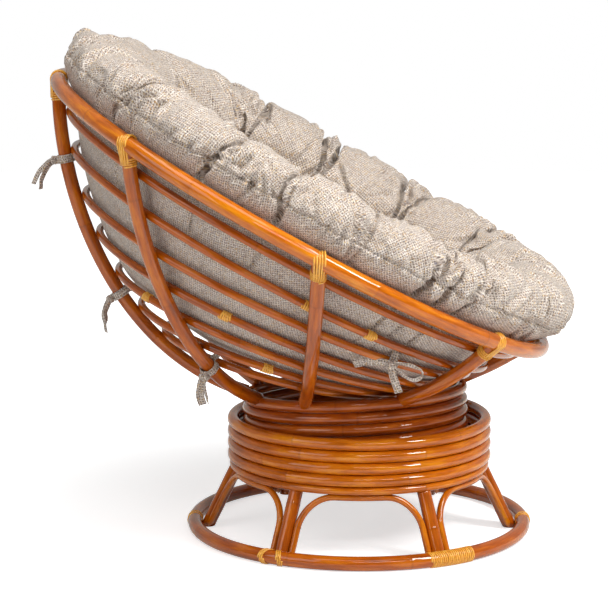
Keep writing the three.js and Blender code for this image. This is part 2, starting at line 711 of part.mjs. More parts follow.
function makeCushion() {
  const { puffDepth, tuftDepth, rollHeight, coreShares, innerCoreShares } = cushion;
  const section = cushionSection();
  const columns = cushionColumns();
  const core = [coreShares[0] * rim.radius, coreShares[1] * rollHeight];
  const innerCore = [innerCoreShares[0] * rim.radius, innerCoreShares[1] * rollHeight];
  const corners = [];
  const toWorld = (out, height, angle) => rimCentre.clone()
    .addScaledVector(rimUp, height)
    .addScaledVector(rimFront, out * Math.cos(angle))
    .addScaledVector(side, out * Math.sin(angle));
  section.forEach(([out, height, outer, inner, ring]) => {
    const [towardsOut, towardsHeight] = inner ? innerCore : core;
    columns.forEach(({ angle, crease, innerCrease, tuft }) => {
      const depth = puffDepth * (outer * crease + inner * innerCrease)
        + (ring && tuft && (outer || innerCrease) ? tuftDepth : ring);
      const share = depth / Math.hypot(out - towardsOut, height - towardsHeight);
      corners.push(...toWorld(THREE.MathUtils.lerp(out, towardsOut, share),
        THREE.MathUtils.lerp(height, towardsHeight, share), angle).toArray());
    });
  });
  const rows = section.length;
  const count = columns.length;
  const low = rows * count;
  corners.push(...toWorld(0, -cushion.bottomShare * bowl.depth, 0).toArray());
  corners.push(...toWorld(0, -cushion.seatShare * bowl.depth, 0).toArray());
  const faces = [];
  for (let j = 0; j < count; j += 1) {
    const next = (j + 1) % count;
    faces.push(low, next, j);
    faces.push(low + 1, (rows - 1) * count + j, (rows - 1) * count + next);
    for (let i = 0; i + 1 < rows; i += 1) {
      const a = i * count + j;
      const b = i * count + next;
      faces.push(a, b, a + count, b, b + count, a + count);
    }
  }
  const geometry = new THREE.BufferGeometry();
  geometry.setAttribute("position", new THREE.Float32BufferAttribute(corners, 3));
  geometry.setIndex(faces);
  return geometry;
}

// Ribbons that tie the cushion to the bowl

function ribbon(places) {
  const { width, thickness } = ties;
  const section = new THREE.Shape();
  section.moveTo(-thickness / 2, -width / 2);
  section.lineTo(thickness / 2, -width / 2);
  section.lineTo(thickness / 2, width / 2);
  section.lineTo(-thickness / 2, width / 2);
  const extrudePath = new THREE.CatmullRomCurve3(places);
  const options = { steps: ties.steps, extrudePath, bevelEnabled: false };
  return solidOf(new THREE.ExtrudeGeometry(section, options));
}

function tieSolid({ place, ahead, poleRadius, out, bow }) {
  const { width, thickness, tail, spread, knot, loopLength, sides } = ties;
  const across = ahead.clone().cross(out).normalize();
  const bore = (poleRadius + fitGap) / Math.cos(Math.PI / sides);
  const sleeve = (radius, length) => solidOf(straightPole(
    place.clone().addScaledVector(ahead, -length / 2),
    place.clone().addScaledVector(ahead, length / 2), radius, sides));
  let tie = sleeve(bore + thickness, width);
  const knotPlace = place.clone().addScaledVector(out, bore + knot / 2);
  tie = tie.add(solidOf(new THREE.SphereGeometry(knot, sides, ties.steps + 1), placedAt(knotPlace)));
  [-1, 1].forEach((sign) => {
    const drop = (down, outShare, spreadShare) => knotPlace.clone()
      .addScaledVector(up, -down).addScaledVector(out, knot * outShare)
      .addScaledVector(across, sign * spread * spreadShare * -1)
      .addScaledVector(ahead, sign * spread * spreadShare);
    tie = tie.add(ribbon([knotPlace, drop(tail / 3, 1, 1 / 2), drop(tail, 1, 1)]));
    if (bow) {
      const bend = (run, lift) => knotPlace.clone()
        .addScaledVector(ahead, sign * run).addScaledVector(up, lift).addScaledVector(out, knot / 2);
      tie = tie.add(ribbon([knotPlace, bend(loopLength / 2, knot), bend(loopLength, 0)]));
      tie = tie.add(ribbon([knotPlace, bend(loopLength / 2, -knot), bend(loopLength, 0)]));
    }
  });
  if (bow) {
    const slab = new THREE.BoxGeometry(2 * tail, 2 * tail, 2 * tail);
    const inner = place.clone().addScaledVector(out, -tail);
    tie = tie.subtract(solidOf(slab, placedAt(inner, turnBetween(side, out))));
  }
  hoops.downShares.forEach((_, index) => {
    tie = tie.subtract(solidOf(makeHoop(index, fitGap)));
  });
  ribLines.forEach((_, index) => {
    tie = tie.subtract(ribPole(index, fitGap));
  });
  return geometryOf(largestOf(tie));
}

function outwardAt(place, ahead) {
  const out = place.clone().sub(rimCentre).setZ(0);
  return out.addScaledVector(ahead, -out.dot(ahead)).normalize();
}

function makeRibTie({ rib, share }) {
  const line = ribLines[rib];
  const { place, ahead } = placeAlong(line, share * new THREE.CatmullRomCurve3(line).getLength());
  return tieSolid({ place, ahead, poleRadius: ribs.pole / 2, out: outwardAt(place, ahead) });
}

function makeHoopTie({ hoop, degrees }) {
  const { places } = hoopLine(hoop);
  const index = Math.round((degrees / 360) * places.length);
  const place = places[index];
  const ahead = places[index + 1].clone().sub(places[index - 1]).normalize();
  const out = outwardAt(place, ahead);
  return tieSolid({ place, ahead, poleRadius: hoops.pole / 2, out, bow: true });
}

addPiece("floor_ring", makeFloorRing(), "rattan");
for (let i = 0; i < legs.count; i += 1) addPiece(`leg_${i + 1}`, makeLeg(i), "rattan");
for (let i = 0; i < legs.count; i += 1) addPiece(`arch_${i + 1}`, makeArch(i), "rattan");
addPiece("floor_ring_winding", makeWinding(), "peel");
addPiece("lower_drum_foot_ring", drumFootRing(), "rattan");
for (let i = 0; i < lowerDrum.rings; i += 1) {
  addPiece(`lower_drum_ring_${i + 1}`, lowerRing(i), "rattan");
}
[-1, 1].forEach((sign, i) => addPiece(`lower_cross_bar_${i + 1}`, makeLowerBar(sign), "darkRattan"));
addPiece("swivel_plate", makeSwivelPlate(), "steel");
addPiece("ball_race", makeRace(), "zinc");
addPiece("kingpin", makeKingpin(), "zinc");
addPiece("turntable", makeTurntable(), "steel");
addPiece("rocker_axle", makeAxle(), "zinc");
springPlaces.forEach(([x, y], i) => addPiece(`spring_${i + 1}`, makeSpring(x, y), "zinc"));
addPiece("rocker_plate", makeRocker(), "steel");
for (let i = 0; i < upperDrum.rings; i += 1) {
  addPiece(`upper_drum_ring_${i + 1}`, upperRing(i), "darkRattan");
}
[-1, 1].forEach((sign, i) => addPiece(`upper_cross_bar_${i + 1}`, makeUpperBar(sign), "darkRattan"));
addPiece("bowl_rim", makeRim(), "rattan");
for (let i = 0; i < ribs.count; i += 1) addPiece(`rib_${i + 1}`, makeRib(i), "rattan");
for (let i = 0; i < hoops.downShares.length; i += 1) addPiece(`hoop_${i + 1}`, makeHoop(i), "rattan");
addPiece("cushion", makeCushion(), "tweed");
ties.onRibs.forEach((spot, i) => addPiece(`rib_tie_${i + 1}`, makeRibTie(spot), "tweed"));
addPiece("hoop_bow", makeHoopTie(ties.onHoop), "tweed");

// The finished chair stands with the middle of its outer box over the origin.
const box = new THREE.Box3().setFromObject(chair);
const middle = box.getCenter(point(0, 0, 0));
chair.position.set(-middle.x, -middle.y, -box.min.z);
const part = new THREE.Group();
part.add(chair);
const written = [-middle.x, -middle.y, axlePlace.z - box.min.z].map((value) => value.toFixed(2));
console.log(`rocker axle at ${written.join(", ")}, rim centre ${rimCentre.z.toFixed(2)}`);

export default part;
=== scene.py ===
# Round rattan papasan chair: camera and studio first, then poles, bindings, swivel, cushion and ties.
import json
from math import asin, cos, hypot, pi, radians, sin, sqrt
import bpy
import numpy as np
from numpy.linalg import norm
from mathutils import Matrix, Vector, noise

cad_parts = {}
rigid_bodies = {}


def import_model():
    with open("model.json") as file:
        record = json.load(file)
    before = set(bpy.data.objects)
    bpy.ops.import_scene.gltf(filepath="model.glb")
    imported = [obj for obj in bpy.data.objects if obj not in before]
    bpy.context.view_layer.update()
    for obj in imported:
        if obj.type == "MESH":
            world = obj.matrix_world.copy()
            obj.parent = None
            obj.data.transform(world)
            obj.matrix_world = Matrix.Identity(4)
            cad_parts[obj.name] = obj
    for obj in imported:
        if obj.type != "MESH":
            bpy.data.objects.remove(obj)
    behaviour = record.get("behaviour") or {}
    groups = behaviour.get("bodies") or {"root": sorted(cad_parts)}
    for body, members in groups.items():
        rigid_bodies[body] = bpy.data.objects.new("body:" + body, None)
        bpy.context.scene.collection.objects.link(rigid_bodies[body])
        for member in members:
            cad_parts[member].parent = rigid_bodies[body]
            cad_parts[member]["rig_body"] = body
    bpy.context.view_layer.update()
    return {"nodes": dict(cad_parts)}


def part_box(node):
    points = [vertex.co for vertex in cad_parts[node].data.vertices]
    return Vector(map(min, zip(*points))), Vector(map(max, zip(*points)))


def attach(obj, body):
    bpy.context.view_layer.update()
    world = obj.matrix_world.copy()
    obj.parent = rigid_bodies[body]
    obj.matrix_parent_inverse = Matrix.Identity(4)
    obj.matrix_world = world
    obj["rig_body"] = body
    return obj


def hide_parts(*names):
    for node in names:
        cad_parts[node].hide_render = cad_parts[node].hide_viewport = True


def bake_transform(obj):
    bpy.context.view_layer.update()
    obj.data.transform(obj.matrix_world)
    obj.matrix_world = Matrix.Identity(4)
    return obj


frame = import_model()
bpy.ops.object.select_all(action="DESELECT")


def middleOf(node):
    low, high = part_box(node)
    return (np.array(low) + np.array(high)) / 2


swivelY = float(middleOf("ball_race")[1])
up = np.array([0.0, 0.0, 1.0])
side = np.array([1.0, 0.0, 0.0])

viewpoint = {"back": 4.6427, "aside": 0.0519, "height": 1.2424, "look": (0.9863, 0.0132, -0.1643), "lens": 135.65}

bpy.ops.object.camera_add(location=(-viewpoint["back"], swivelY + viewpoint["aside"], viewpoint["height"]))
camera = bpy.context.object
camera.rotation_euler = Vector(viewpoint["look"]).to_track_quat("-Z", "Y").to_euler()
camera.data.lens = viewpoint["lens"]
camera.data.clip_end = 100
bpy.context.scene.camera = camera
bpy.context.scene.view_settings.view_transform = "Standard"


def linear(code):
    values = [int(code[i:i + 2], 16) / 255 for i in (1, 3, 5)]
    return tuple(v / 12.92 if v <= 0.04045 else ((v + 0.055) / 1.055) ** 2.4 for v in values) + (1.0,)


def setNode(node, settings):
    # a key names a property or an input; a value is a constant, a socket, or a node for its first output in use
    for key, value in settings.items():
        if isinstance(value, bpy.types.Node):
            value = next(output for output in value.outputs if output.enabled)
        if isinstance(value, bpy.types.NodeSocket):
            node.id_data.links.new(value, node.inputs[key])
        elif isinstance(key, str) and hasattr(node, key):
            setattr(node, key, value)
        else:
            node.inputs[key].default_value = value


def adderFor(tree):  # gives the function that adds a node with its settings and links to this tree
    def add(kind, settings):
        node = tree.nodes.new("ShaderNode" + kind)
        setNode(node, settings)
        return node
    return add


def setRamp(node, stops):
    ramp = node.color_ramp
    while len(ramp.elements) < len(stops):
        ramp.elements.new(0.5)
    for element, (place, colour) in zip(ramp.elements, stops):
        element.position = place
        element.color = linear(colour) if isinstance(colour, str) else (colour, colour, colour, 1)
    return node


def newMaterial(name):
    material = bpy.data.materials.new(name)
    material.use_nodes = True
    return material, adderFor(material.node_tree), material.node_tree.nodes["Principled BSDF"]


studio = {
    "floorRadius": 7.0, "floorShade": 0.8,
    "floorGlow": (0.64, 1.0), "glowReach": (0.5, 1.5),  # the paper is lit white further out, so the shadow stays close
    "floorMirror": 0.35, "besideLight": 0.08, "behindLight": 0.45, "mirrorReach": (-0.5, 0.35),  # seen in the varnish
    "worldLight": 0.17, "lampAim": 0.45,
    "lamps": [  # name, degrees round from the camera's side, height, distance, width, tall, watts
        ("keySoftbox", -54, 2.75, 2.7, 0.75, 1.7, 100),
        ("stripAbove", -14, 2.35, 3.0, 2.0, 0.16, 20),
        ("windowLeft", 46, 1.9, 3.3, 2.2, 1.8, 28),
        ("topLight", 8, 3.6, 0.9, 2.4, 2.4, 62),
    ],
}

bpy.ops.mesh.primitive_circle_add(vertices=128, radius=studio["floorRadius"], fill_type="NGON", location=(0, 0, 0))
floor = bpy.context.object
floor.name = "studioFloor"
material, add, shader = newMaterial("mattWhitePaperFloor")
setNode(shader, {"Base Color": (studio["floorShade"],) * 3 + (1,), "Roughness": 0.9, "Specular IOR Level": 0.1})
path = add("LightPath", {})
seen = add("Math", {
    "operation": "MULTIPLY_ADD", 0: path.outputs["Is Glossy Ray"], 1: studio["floorMirror"],
    2: path.outputs["Is Camera Ray"]})
place = add("TexCoord", {}).outputs["Object"]
away = add("VectorMath", {"operation": "LENGTH", 0: place})
level = add("MapRange", {
    "interpolation_type": "SMOOTHSTEP", "Value": away, "From Min": studio["glowReach"][0],
    "From Max": studio["glowReach"][1], "To Min": studio["floorGlow"][0], "To Max": studio["floorGlow"][1]})
glow = add("Math", {"operation": "MULTIPLY", 0: seen, 1: level})
lit = add("Emission", {"Color": (1, 1, 1, 1), "Strength": glow})
both = add("AddShader", {0: shader, 1: lit})
setNode(material.node_tree.nodes["Material Output"], {"Surface": both})
floor.data.materials.append(material)

world = bpy.data.worlds.new("whiteStudio")
bpy.context.scene.world = world
world.use_nodes = True
add = adderFor(world.node_tree)
path = add("LightPath", {})
seen = add("Math", {
    "operation": "MAXIMUM", 0: path.outputs["Is Camera Ray"], 1: path.outputs["Is Transmission Ray"]})
direction = add("SeparateXYZ", {0: add("TexCoord", {}).outputs["Generated"]})
mirrored = add("MapRange", {
    "interpolation_type": "SMOOTHSTEP", "Value": direction.outputs["X"], "From Min": studio["mirrorReach"][0],
    "From Max": studio["mirrorReach"][1], "To Min": studio["besideLight"], "To Max": studio["behindLight"]})
room = add("Mix", {0: path.outputs["Is Glossy Ray"], 2: studio["worldLight"], 3: mirrored})
level = add("Mix", {0: seen, 2: room, 3: 1.0})
setNode(world.node_tree.nodes["Background"], {"Color": (1, 1, 1, 1), "Strength": level})

for name, degrees, height, distance, width, tall, watts in studio["lamps"]:
    angle = radians(degrees)
    place = Vector((-distance * cos(angle), swivelY + distance * sin(angle), height))
    bpy.ops.object.light_add(type="AREA", location=place)
    lamp = bpy.context.object
    lamp.name = name
    lamp.data.shape = "RECTANGLE"
    lamp.data.size, lamp.data.size_y, lamp.data.energy = width, tall, watts
    lamp.rotation_euler = (Vector((0, swivelY, studio["lampAim"])) - place).to_track_quat("-Z", "Y").to_euler()
print("camera, floor and lamps are in place")


def rattanFinish(name, tones, roughness):
    # Peeled rattan pole, stained and varnished glossy: joints every 20 to 36 cm, long fibres 0.8 mm wide, each
    # length between joints its own tone, and a clear coat that shows the lamps as long streaks. The stain is in
    # the varnish, so poles darken to their edges.
    material, add, shader = newMaterial(name)
    place = add("Attribute", {"attribute_name": "grainPlace"}).outputs["Vector"]
    joint = add("Attribute", {"attribute_name": "fromJoint"}).outputs["Fac"]
    tone = add("Attribute", {"attribute_name": "lengthTone"}).outputs["Fac"]
    along = add("Mapping", {"Scale": (1, 1, 0.045), "Vector": place})
    fibres = add("TexNoise", {"Scale": 1250, "Detail": 4, "Roughness": 0.62, "Vector": along})
    broad = add("Mapping", {"Scale": (1, 1, 0.14), "Vector": place})
    clouds = add("TexNoise", {"Scale": 95, "Detail": 3, "Roughness": 0.55, "Vector": broad})
    stain = add("Math", {"operation": "MULTIPLY_ADD", 0: tone, 1: 0.1, 2: -0.05})
    mixed = add("Math", {"operation": "ADD", 0: clouds, 1: stain})
    colour = setRamp(add("ValToRGB", {"Fac": mixed}), list(zip((0.22, 0.5, 0.78), tones)))
    streak = setRamp(add("ValToRGB", {"Fac": fibres}), [(0.3, 0.72), (0.52, 1.0), (0.75, 0.93)])
    grained = add("Mix", {"data_type": "RGBA", "blend_type": "MULTIPLY", 0: 1.0, 6: colour, 7: streak})
    near = add("MapRange", {"Value": joint, "From Min": 0.0006, "From Max": 0.0032, "To Min": 1.0, "To Max": 0.0})
    dark = add("Math", {"operation": "MULTIPLY", 0: near, 1: 0.2})
    jointed = add("Mix", {"data_type": "RGBA", 0: dark, 6: grained, 7: linear(tones[3])})
    rough = add("MapRange", {"Value": clouds, "To Min": roughness - 0.07, "To Max": roughness + 0.1})
    bump = add("Bump", {"Strength": 0.12, "Distance": 0.0006, "Height": fibres})
    setNode(shader, {
        "Base Color": jointed, "Roughness": rough, "Normal": bump, "Specular IOR Level": 0.12,
        "Coat Weight": 1.0, "Coat Roughness": 0.05, "Coat IOR": 1.5, "Coat Tint": linear("#f3d380")})
    return material


honeyPole = rattanFinish("varnishedHoneyRattan", ("#9c540a", "#d68214", "#f6b234", "#6b3212"), 0.34)
brownPole = rattanFinish("varnishedBrownRattan", ("#8a440c", "#c26c16", "#e29432", "#5a2810"), 0.34)
darkPole = rattanFinish("varnishedDarkRattan", ("#74360e", "#b45e22", "#da883c", "#401a0a"), 0.3)


def peelFinish():
    # Rattan peel, split and shaved flat, left pale under thin varnish: satin, golden, with fibres 1 mm wide.
    material, add, shader = newMaterial("satinRattanPeel")
    place = add("Attribute", {"attribute_name": "grainPlace"}).outputs["Vector"]
    along = add("Mapping", {"Scale": (1, 1, 0.12), "Vector": place})
    fibres = add("TexNoise", {"Scale": 900, "Detail": 3, "Vector": along})
    colour = setRamp(add("ValToRGB", {"Fac": fibres}), [(0.3, "#bd7616"), (0.5, "#f0ab34"), (0.72, "#ffd26a")])
    bump = add("Bump", {"Strength": 0.2, "Distance": 0.0003, "Height": fibres})
    setNode(shader, {
        "Base Color": colour, "Normal": bump, "Roughness": 0.36, "Coat Weight": 0.35, "Coat Roughness": 0.2})
    return material


peel = peelFinish()


def readAll(items, key, wide=1, kind=float):
    values = np.zeros(wide * len(items), kind)
    items.foreach_get(key, values)
    return values.reshape(-1, wide) if wide > 1 else values


def addAttribute(mesh, name, kind, domain, values):
    data = mesh.attributes.new(name, kind, domain).data
    data.foreach_set("vector" if kind == "FLOAT_VECTOR" else "value", values.ravel().astype(np.float32))


def addCover(mesh, across, along):
    cover = np.stack([across, along], axis=1)
    mesh.uv_layers.new(name="cover").data.foreach_set("uv", cover.ravel().astype(np.float32))


def fillHoles():
    bpy.ops.object.mode_set(mode="EDIT")
    bpy.ops.mesh.select_all(action="SELECT")
    bpy.ops.mesh.fill_holes(sides=0)
    bpy.ops.object.mode_set(mode="OBJECT")


def setAll(target, settings):
    for key, value in settings.items():
        setattr(target, key, value)


def applyModifier(piece, kind, settings):
    bpy.ops.object.modifier_add(type=kind)
    setAll(piece.modifiers[-1], settings)
    bpy.ops.object.modifier_apply(modifier=piece.modifiers[-1].name)


def bell(distance, width):
    return np.exp(-(distance / width) ** 2)


def unit(values):
    return values / norm(values, axis=-1, keepdims=True)


def lengthsOf(route):
    return np.concatenate([[0], np.cumsum(norm(np.diff(route, axis=0), axis=1))])


def placesAt(route, where):
    lengths = lengthsOf(route)
    return np.stack([np.interp(where, lengths, route[:, k]) for k in range(3)], axis=1)


def tubeMesh(name, runs, around, closed=False):
    # runs hold points, radii, and for each point its length along, distance from a joint and tone
    bpy.ops.curve.primitive_bezier_curve_add()
    curve = bpy.context.object.data
    curve.splines.clear()
    for points, radii, *_ in runs:
        spline = curve.splines.new("POLY")
        spline.points.add(len(points) - 1)
        spline.points.foreach_set("co", np.column_stack([points, np.ones(len(points))]).ravel())
        spline.points.foreach_set("radius", np.asarray(radii, float))
        spline.use_cyclic_u = closed
        spline.use_smooth = True
    curve.dimensions = "3D"
    curve.bevel_depth = 1.0
    curve.bevel_resolution = around // 2 - 2
    bpy.ops.object.convert(target="MESH")
    tube = bpy.context.object
    if not closed:
        fillHoles()
    tube.name = tube.data.name = name
    mesh = tube.data
    corners = readAll(mesh.loops, "vertex_index", 1, int)
    starts = readAll(mesh.polygons, "loop_start", 1, int)
    radius, length, joint, tone = (np.concatenate([run[k] for run in runs]) for k in (1, 2, 3, 4))
    perRing = len(mesh.vertices) // len(radius)
    ring = corners // perRing
    spot = 2 * pi * (corners % perRing) / perRing
    along = length[ring]
    if closed:  # the last lengthwise step runs on, and doesn't fall back to the start
        face = np.repeat(np.arange(len(starts)), np.diff(np.append(starts, len(corners))))
        highest = np.zeros(len(starts), int)
        np.maximum.at(highest, face, ring)
        wraps = (highest[face] == len(radius) - 1) & (ring == 0)
        step = norm(runs[0][0][-1] - runs[0][0][0])
        along = np.where(wraps, length[-1] + step, along)
    grain = np.stack([radius[ring] * np.cos(spot), radius[ring] * np.sin(spot), along], axis=1)
    addAttribute(mesh, "grainPlace", "FLOAT_VECTOR", "CORNER", grain)
    addAttribute(mesh, "fromJoint", "FLOAT", "CORNER", joint[ring])
    addAttribute(mesh, "lengthTone", "FLOAT", "CORNER", tone[ring])
    bpy.ops.object.shade_smooth()
    return tube


poleMake = {
    "step": 0.009, "jointLeast": 0.2, "jointMost": 0.36, "ringJoint": 0.32, "ringShift": 0.22, "jointSwell": 0.022,
    "jointWidth": 0.0026, "wander": 0.012, "endRound": 0.62,
    "nearJoint": (-8, -5, -3, -1.5, 0, 1.5, 3, 5, 8),  # where the points lie at a joint, in millimetres
}


def poleRun(route, radius, seed, closed=False, startRound=False, endRound=False):
    if closed:
        route = np.vstack([route, route[:1]])
    length = lengthsOf(route)[-1]
    chance = np.random.default_rng(seed)
    if closed:
        count = max(2, round(length / poleMake["ringJoint"]))
        shift = chance.uniform(-poleMake["ringShift"], poleMake["ringShift"], count)
        joints = (np.arange(count) + shift) * length / count
        joints[0] = 0
    else:
        joints = np.cumsum(np.concatenate([[chance.uniform(0.02, 0.16)], chance.uniform(
            poleMake["jointLeast"], poleMake["jointMost"], 1 + int(length / poleMake["jointLeast"]))]))
        joints = joints[joints < length - 0.01]
    near = (joints[:, None] + np.array(poleMake["nearJoint"])[None] / 1000).ravel()
    if closed:
        near = near % length
    even = np.linspace(0, length, max(3, int(length / poleMake["step"])))
    where = np.unique(np.round(np.concatenate([even, near]), 4))
    where = where[(where >= 0) & (where <= length)]
    where = where[np.concatenate([[True], np.diff(where) > 0.0009])]
    if closed:
        where = where[where < length - 0.001]
    ends = np.concatenate([joints, joints + length, joints - length]) if closed else joints
    gaps = np.abs(where[:, None] - ends[None]).min(axis=1) if len(ends) else np.full(len(where), 1.0)
    tones = chance.uniform(0, 1, len(joints) + 1)
    tone = tones[np.searchsorted(joints, where) % (len(joints) + (not closed))]
    swell = 1 + poleMake["jointSwell"] * bell(gaps, poleMake["jointWidth"])
    swell = swell + poleMake["wander"] * np.sin(2 * pi * (3 if closed else 2.3) * where / length + seed)
    radii = radius * swell
    for rounded, distance in ((startRound, where), (endRound, length - where)):
        if rounded:
            share = np.clip(distance / (poleMake["endRound"] * radius), 0, 1)
            radii = radii * np.sqrt(np.clip(1 - (1 - share) ** 2, 0.02, 1))
    return placesAt(route, where), radii, where + 1.7 * seed, gaps, tone


def paint(piece, material):
    piece.data.materials.clear()
    piece.data.materials.append(material)


def placePiece(piece, material, slot, body, *nodes):
    paint(piece, material)
    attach(piece, body)
    if nodes:
        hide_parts(*nodes)
    return piece


def addPole(name, node, route, radius, seed, material, around=20, closed=False, **ends):
    run = poleRun(np.asarray(route, float), radius, seed, closed, **ends)
    pole = tubeMesh(name, [run], around, closed)
    slot = "dark_rattan" if material == darkPole else "varnished_rattan"
    return placePiece(pole, material, slot, frame["nodes"][node]["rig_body"], node)


def circleRoute(centre, axis, radius, steps=240):
    axis = unit(np.asarray(axis, float))
    first = unit(np.cross([0, 1, 0], axis))
    second = np.cross(axis, first)
    angles = np.linspace(0, 2 * pi, steps, endpoint=False)
    return centre + radius * (np.cos(angles)[:, None] * first + np.sin(angles)[:, None] * second)


def addStack(name, node, axis, radius, pole, seed, material):
    for i in range(4):
        addPole(f"{name}{i + 1}", f"{node}_{i + 1}", circleRoute(middleOf(f"{node}_{i + 1}"), axis, radius),
                pole, seed + i, material, 24, True)


crossBar = {"pole": 0.0118, "into": 0.011, "lowerAside": 0.07, "lowerHeight": 0.1437, "upperAside": 0.048}


def addBars(name, node, middle, aside, along, radius, seed):
    reach = sqrt(radius ** 2 - aside ** 2) - crossBar["into"]
    for i, sign in enumerate((-1, 1)):
        centre = middle + [sign * aside, 0, 0]
        addPole(f"{name}{i + 1}", f"{node}_{i + 1}", np.array([centre - reach * along, centre + reach * along]),
                crossBar["pole"], seed + i, darkPole)


# Base: floor ring, legs, arches and the lower drum.
floorRing = {"radius": 0.341, "pole": 0.0143, "lift": 0.0007}
drum = {"ringRadius": 0.2607, "pole": 0.0119, "footPole": 0.008, "bottom": 0.1314}
leg = {"count": 6, "pole": 0.0138, "topRadius": 0.252, "firstDegrees": 30, "apart": 0.0288, "lean": 0.515}
arch = {"pole": 0.0066, "corner": 0.062, "foot": 0.004, "aside": 0.02105}

base = np.array([0.0, swivelY, 0.0])
addPole("floorRingPole", "floor_ring",
        circleRoute(base + [0, 0, floorRing["pole"] + floorRing["lift"]], up, floorRing["radius"]),
        floorRing["pole"], 3, brownPole, 24, True)
addPole("drumFootPole", "lower_drum_foot_ring", circleRoute(middleOf("lower_drum_foot_ring"), up, drum["ringRadius"]),
        drum["footPole"], 5, honeyPole, 16, True)
addStack("lowerDrumPole", "lower_drum_ring", up, drum["ringRadius"], drum["pole"], 11, honeyPole)

legRun = floorRing["radius"] - leg["apart"] * hypot(1, leg["lean"]) - leg["topRadius"]
legSlope = legRun / (drum["bottom"] - leg["pole"])


def legRadiusAt(height):
    return leg["topRadius"] + legSlope * (drum["bottom"] - height)


def onCone(angle, height):
    return base + np.array([legRadiusAt(height) * cos(angle), legRadiusAt(height) * sin(angle), height])


for i in range(leg["count"]):
    angle = radians(leg["firstDegrees"] + 60 * i)
    foot, head = onCone(angle, 0.0), onCone(angle, drum["bottom"] + 0.002)
    pole = addPole(f"legPole{i + 1}", f"leg_{i + 1}", np.array([foot, head]), leg["pole"], 21 + i, brownPole)
    slope = (head - foot) / (head - foot)[2]
    for vertex in pole.data.vertices:  # the foot is cut level
        if vertex.co.z < 0.008:
            vertex.co += Vector(slope * (0.0004 - vertex.co.z))
    middle = angle + pi / 6
    top = drum["bottom"] - arch["pole"] - 0.0002
    half = lambda height: pi / 6 - asin(arch["aside"] / legRadiusAt(height))
    cornerAngle = arch["corner"] / legRadiusAt(top)
    right = [(half(h), h) for h in np.linspace(arch["foot"], top - arch["corner"], 14)]
    for turn in np.linspace(0, pi / 2, 15)[1:]:
        height = top - arch["corner"] * (1 - sin(turn))
        right.append((half(height) - cornerAngle * (1 - cos(turn)), height))
    flat = right[-1][0]
    places = right + [(flat * (1 - k / 8), top) for k in range(1, 16)] + [(-a, h) for a, h in reversed(right)]
    route = np.array([onCone(middle + a, h) for a, h in places])
    addPole(f"archPole{i + 1}", f"arch_{i + 1}", route, arch["pole"], 31 + i, honeyPole, 14,
            endRound=True, startRound=True)

addBars("lowerBarPole", "lower_cross_bar", base + [0, 0, crossBar["lowerHeight"]], crossBar["lowerAside"],
        np.array([0.0, 1.0, 0.0]), drum["ringRadius"], 41)
print("base poles are made")

# The upper drum leans with the seat.
lean = {"back": radians(2.9), "side": radians(3.4), "ringRadius": 0.221, "pole": 0.0119}
ringUp = np.array([sin(lean["side"]), cos(lean["side"]) * sin(lean["back"]),
                   cos(lean["side"]) * cos(lean["back"])])
seatAlong = np.array([0, cos(lean["back"]), -sin(lean["back"])])
addStack("upperDrumPole", "upper_drum_ring", ringUp, lean["ringRadius"], lean["pole"], 51, darkPole)
upperTop = middleOf("upper_drum_ring_1")
addBars("upperBarPole", "upper_cross_bar", middleOf("upper_drum_ring_4"), crossBar["upperAside"], seatAlong,
        lean["ringRadius"], 61)

# Rim, ribs and hoops of the bowl lie on one revolved surface.
bowl = {
    "rimRadius": 0.559, "rimPole": 0.0159, "tilt": radians(29), "depth": 0.3915,
    "outline": ((0.8667, 0.4003), (0.4751, 1.0)),
}
rib = {"count": 8, "pole": 0.0138, "turn": radians(4.5), "hubBack": 0.124, "lip": 0.008, "solidPole": 0.014}
hoop = {
    "pole": 0.0079, "solidPole": 0.008, "clears": (0.001, 0.0009, 0.0015, 0.0017, 0.0016, 0.0015, 0.0016),
    "downShares": (0.1175, 0.2947, 0.4341, 0.5748, 0.689, 0.783, 0.8551),
    "tilts": (28.5, 28, 25.1, 23.6, 20.9, 18, 15.5),
}
rimCentre = middleOf("bowl_rim")
rimUp = np.array([0, -sin(bowl["tilt"]), cos(bowl["tilt"])])
rimFront = np.array([0, -cos(bowl["tilt"]), -sin(bowl["tilt"])])
hub = np.array([0, swivelY + rib["hubBack"], upperTop[2]])

shares = np.linspace(0, 1, 97)[:, None]
(c1, d1), (c2, d2) = bowl["outline"]
corners = np.array([[bowl["rimRadius"], 0], [c1 * bowl["rimRadius"], d1 * bowl["depth"]],
                    [c2 * bowl["rimRadius"], d2 * bowl["depth"]], [0, bowl["depth"]]])
bowlOutline = ((1 - shares) ** 3 * corners[0] + 3 * (1 - shares) ** 2 * shares * corners[1]
               + 3 * (1 - shares) * shares ** 2 * corners[2] + shares ** 3 * corners[3])


def insetOutline(inset):
    ahead = unit(np.gradient(bowlOutline, axis=0))
    return bowlOutline + inset * np.stack([-ahead[:, 1], ahead[:, 0]], axis=1)


def onBowl(start, directions, outline):
    inside, outside = np.zeros(len(directions)), np.full(len(directions), 2 * bowl["rimRadius"])
    for _ in range(34):
        middle = (inside + outside) / 2
        offset = start + directions * middle[:, None] - rimCentre
        out = np.hypot(offset @ rimFront, offset @ side)
        within = out < np.interp(-(offset @ rimUp), outline[:, 1], outline[:, 0], right=0)
        inside, outside = np.where(within, middle, inside), np.where(within, outside, middle)
    return start + directions * inside[:, None]


addPole("rimPole", "bowl_rim", circleRoute(rimCentre, rimUp, bowl["rimRadius"], 480), bowl["rimPole"], 71,
        honeyPole, 28, True)


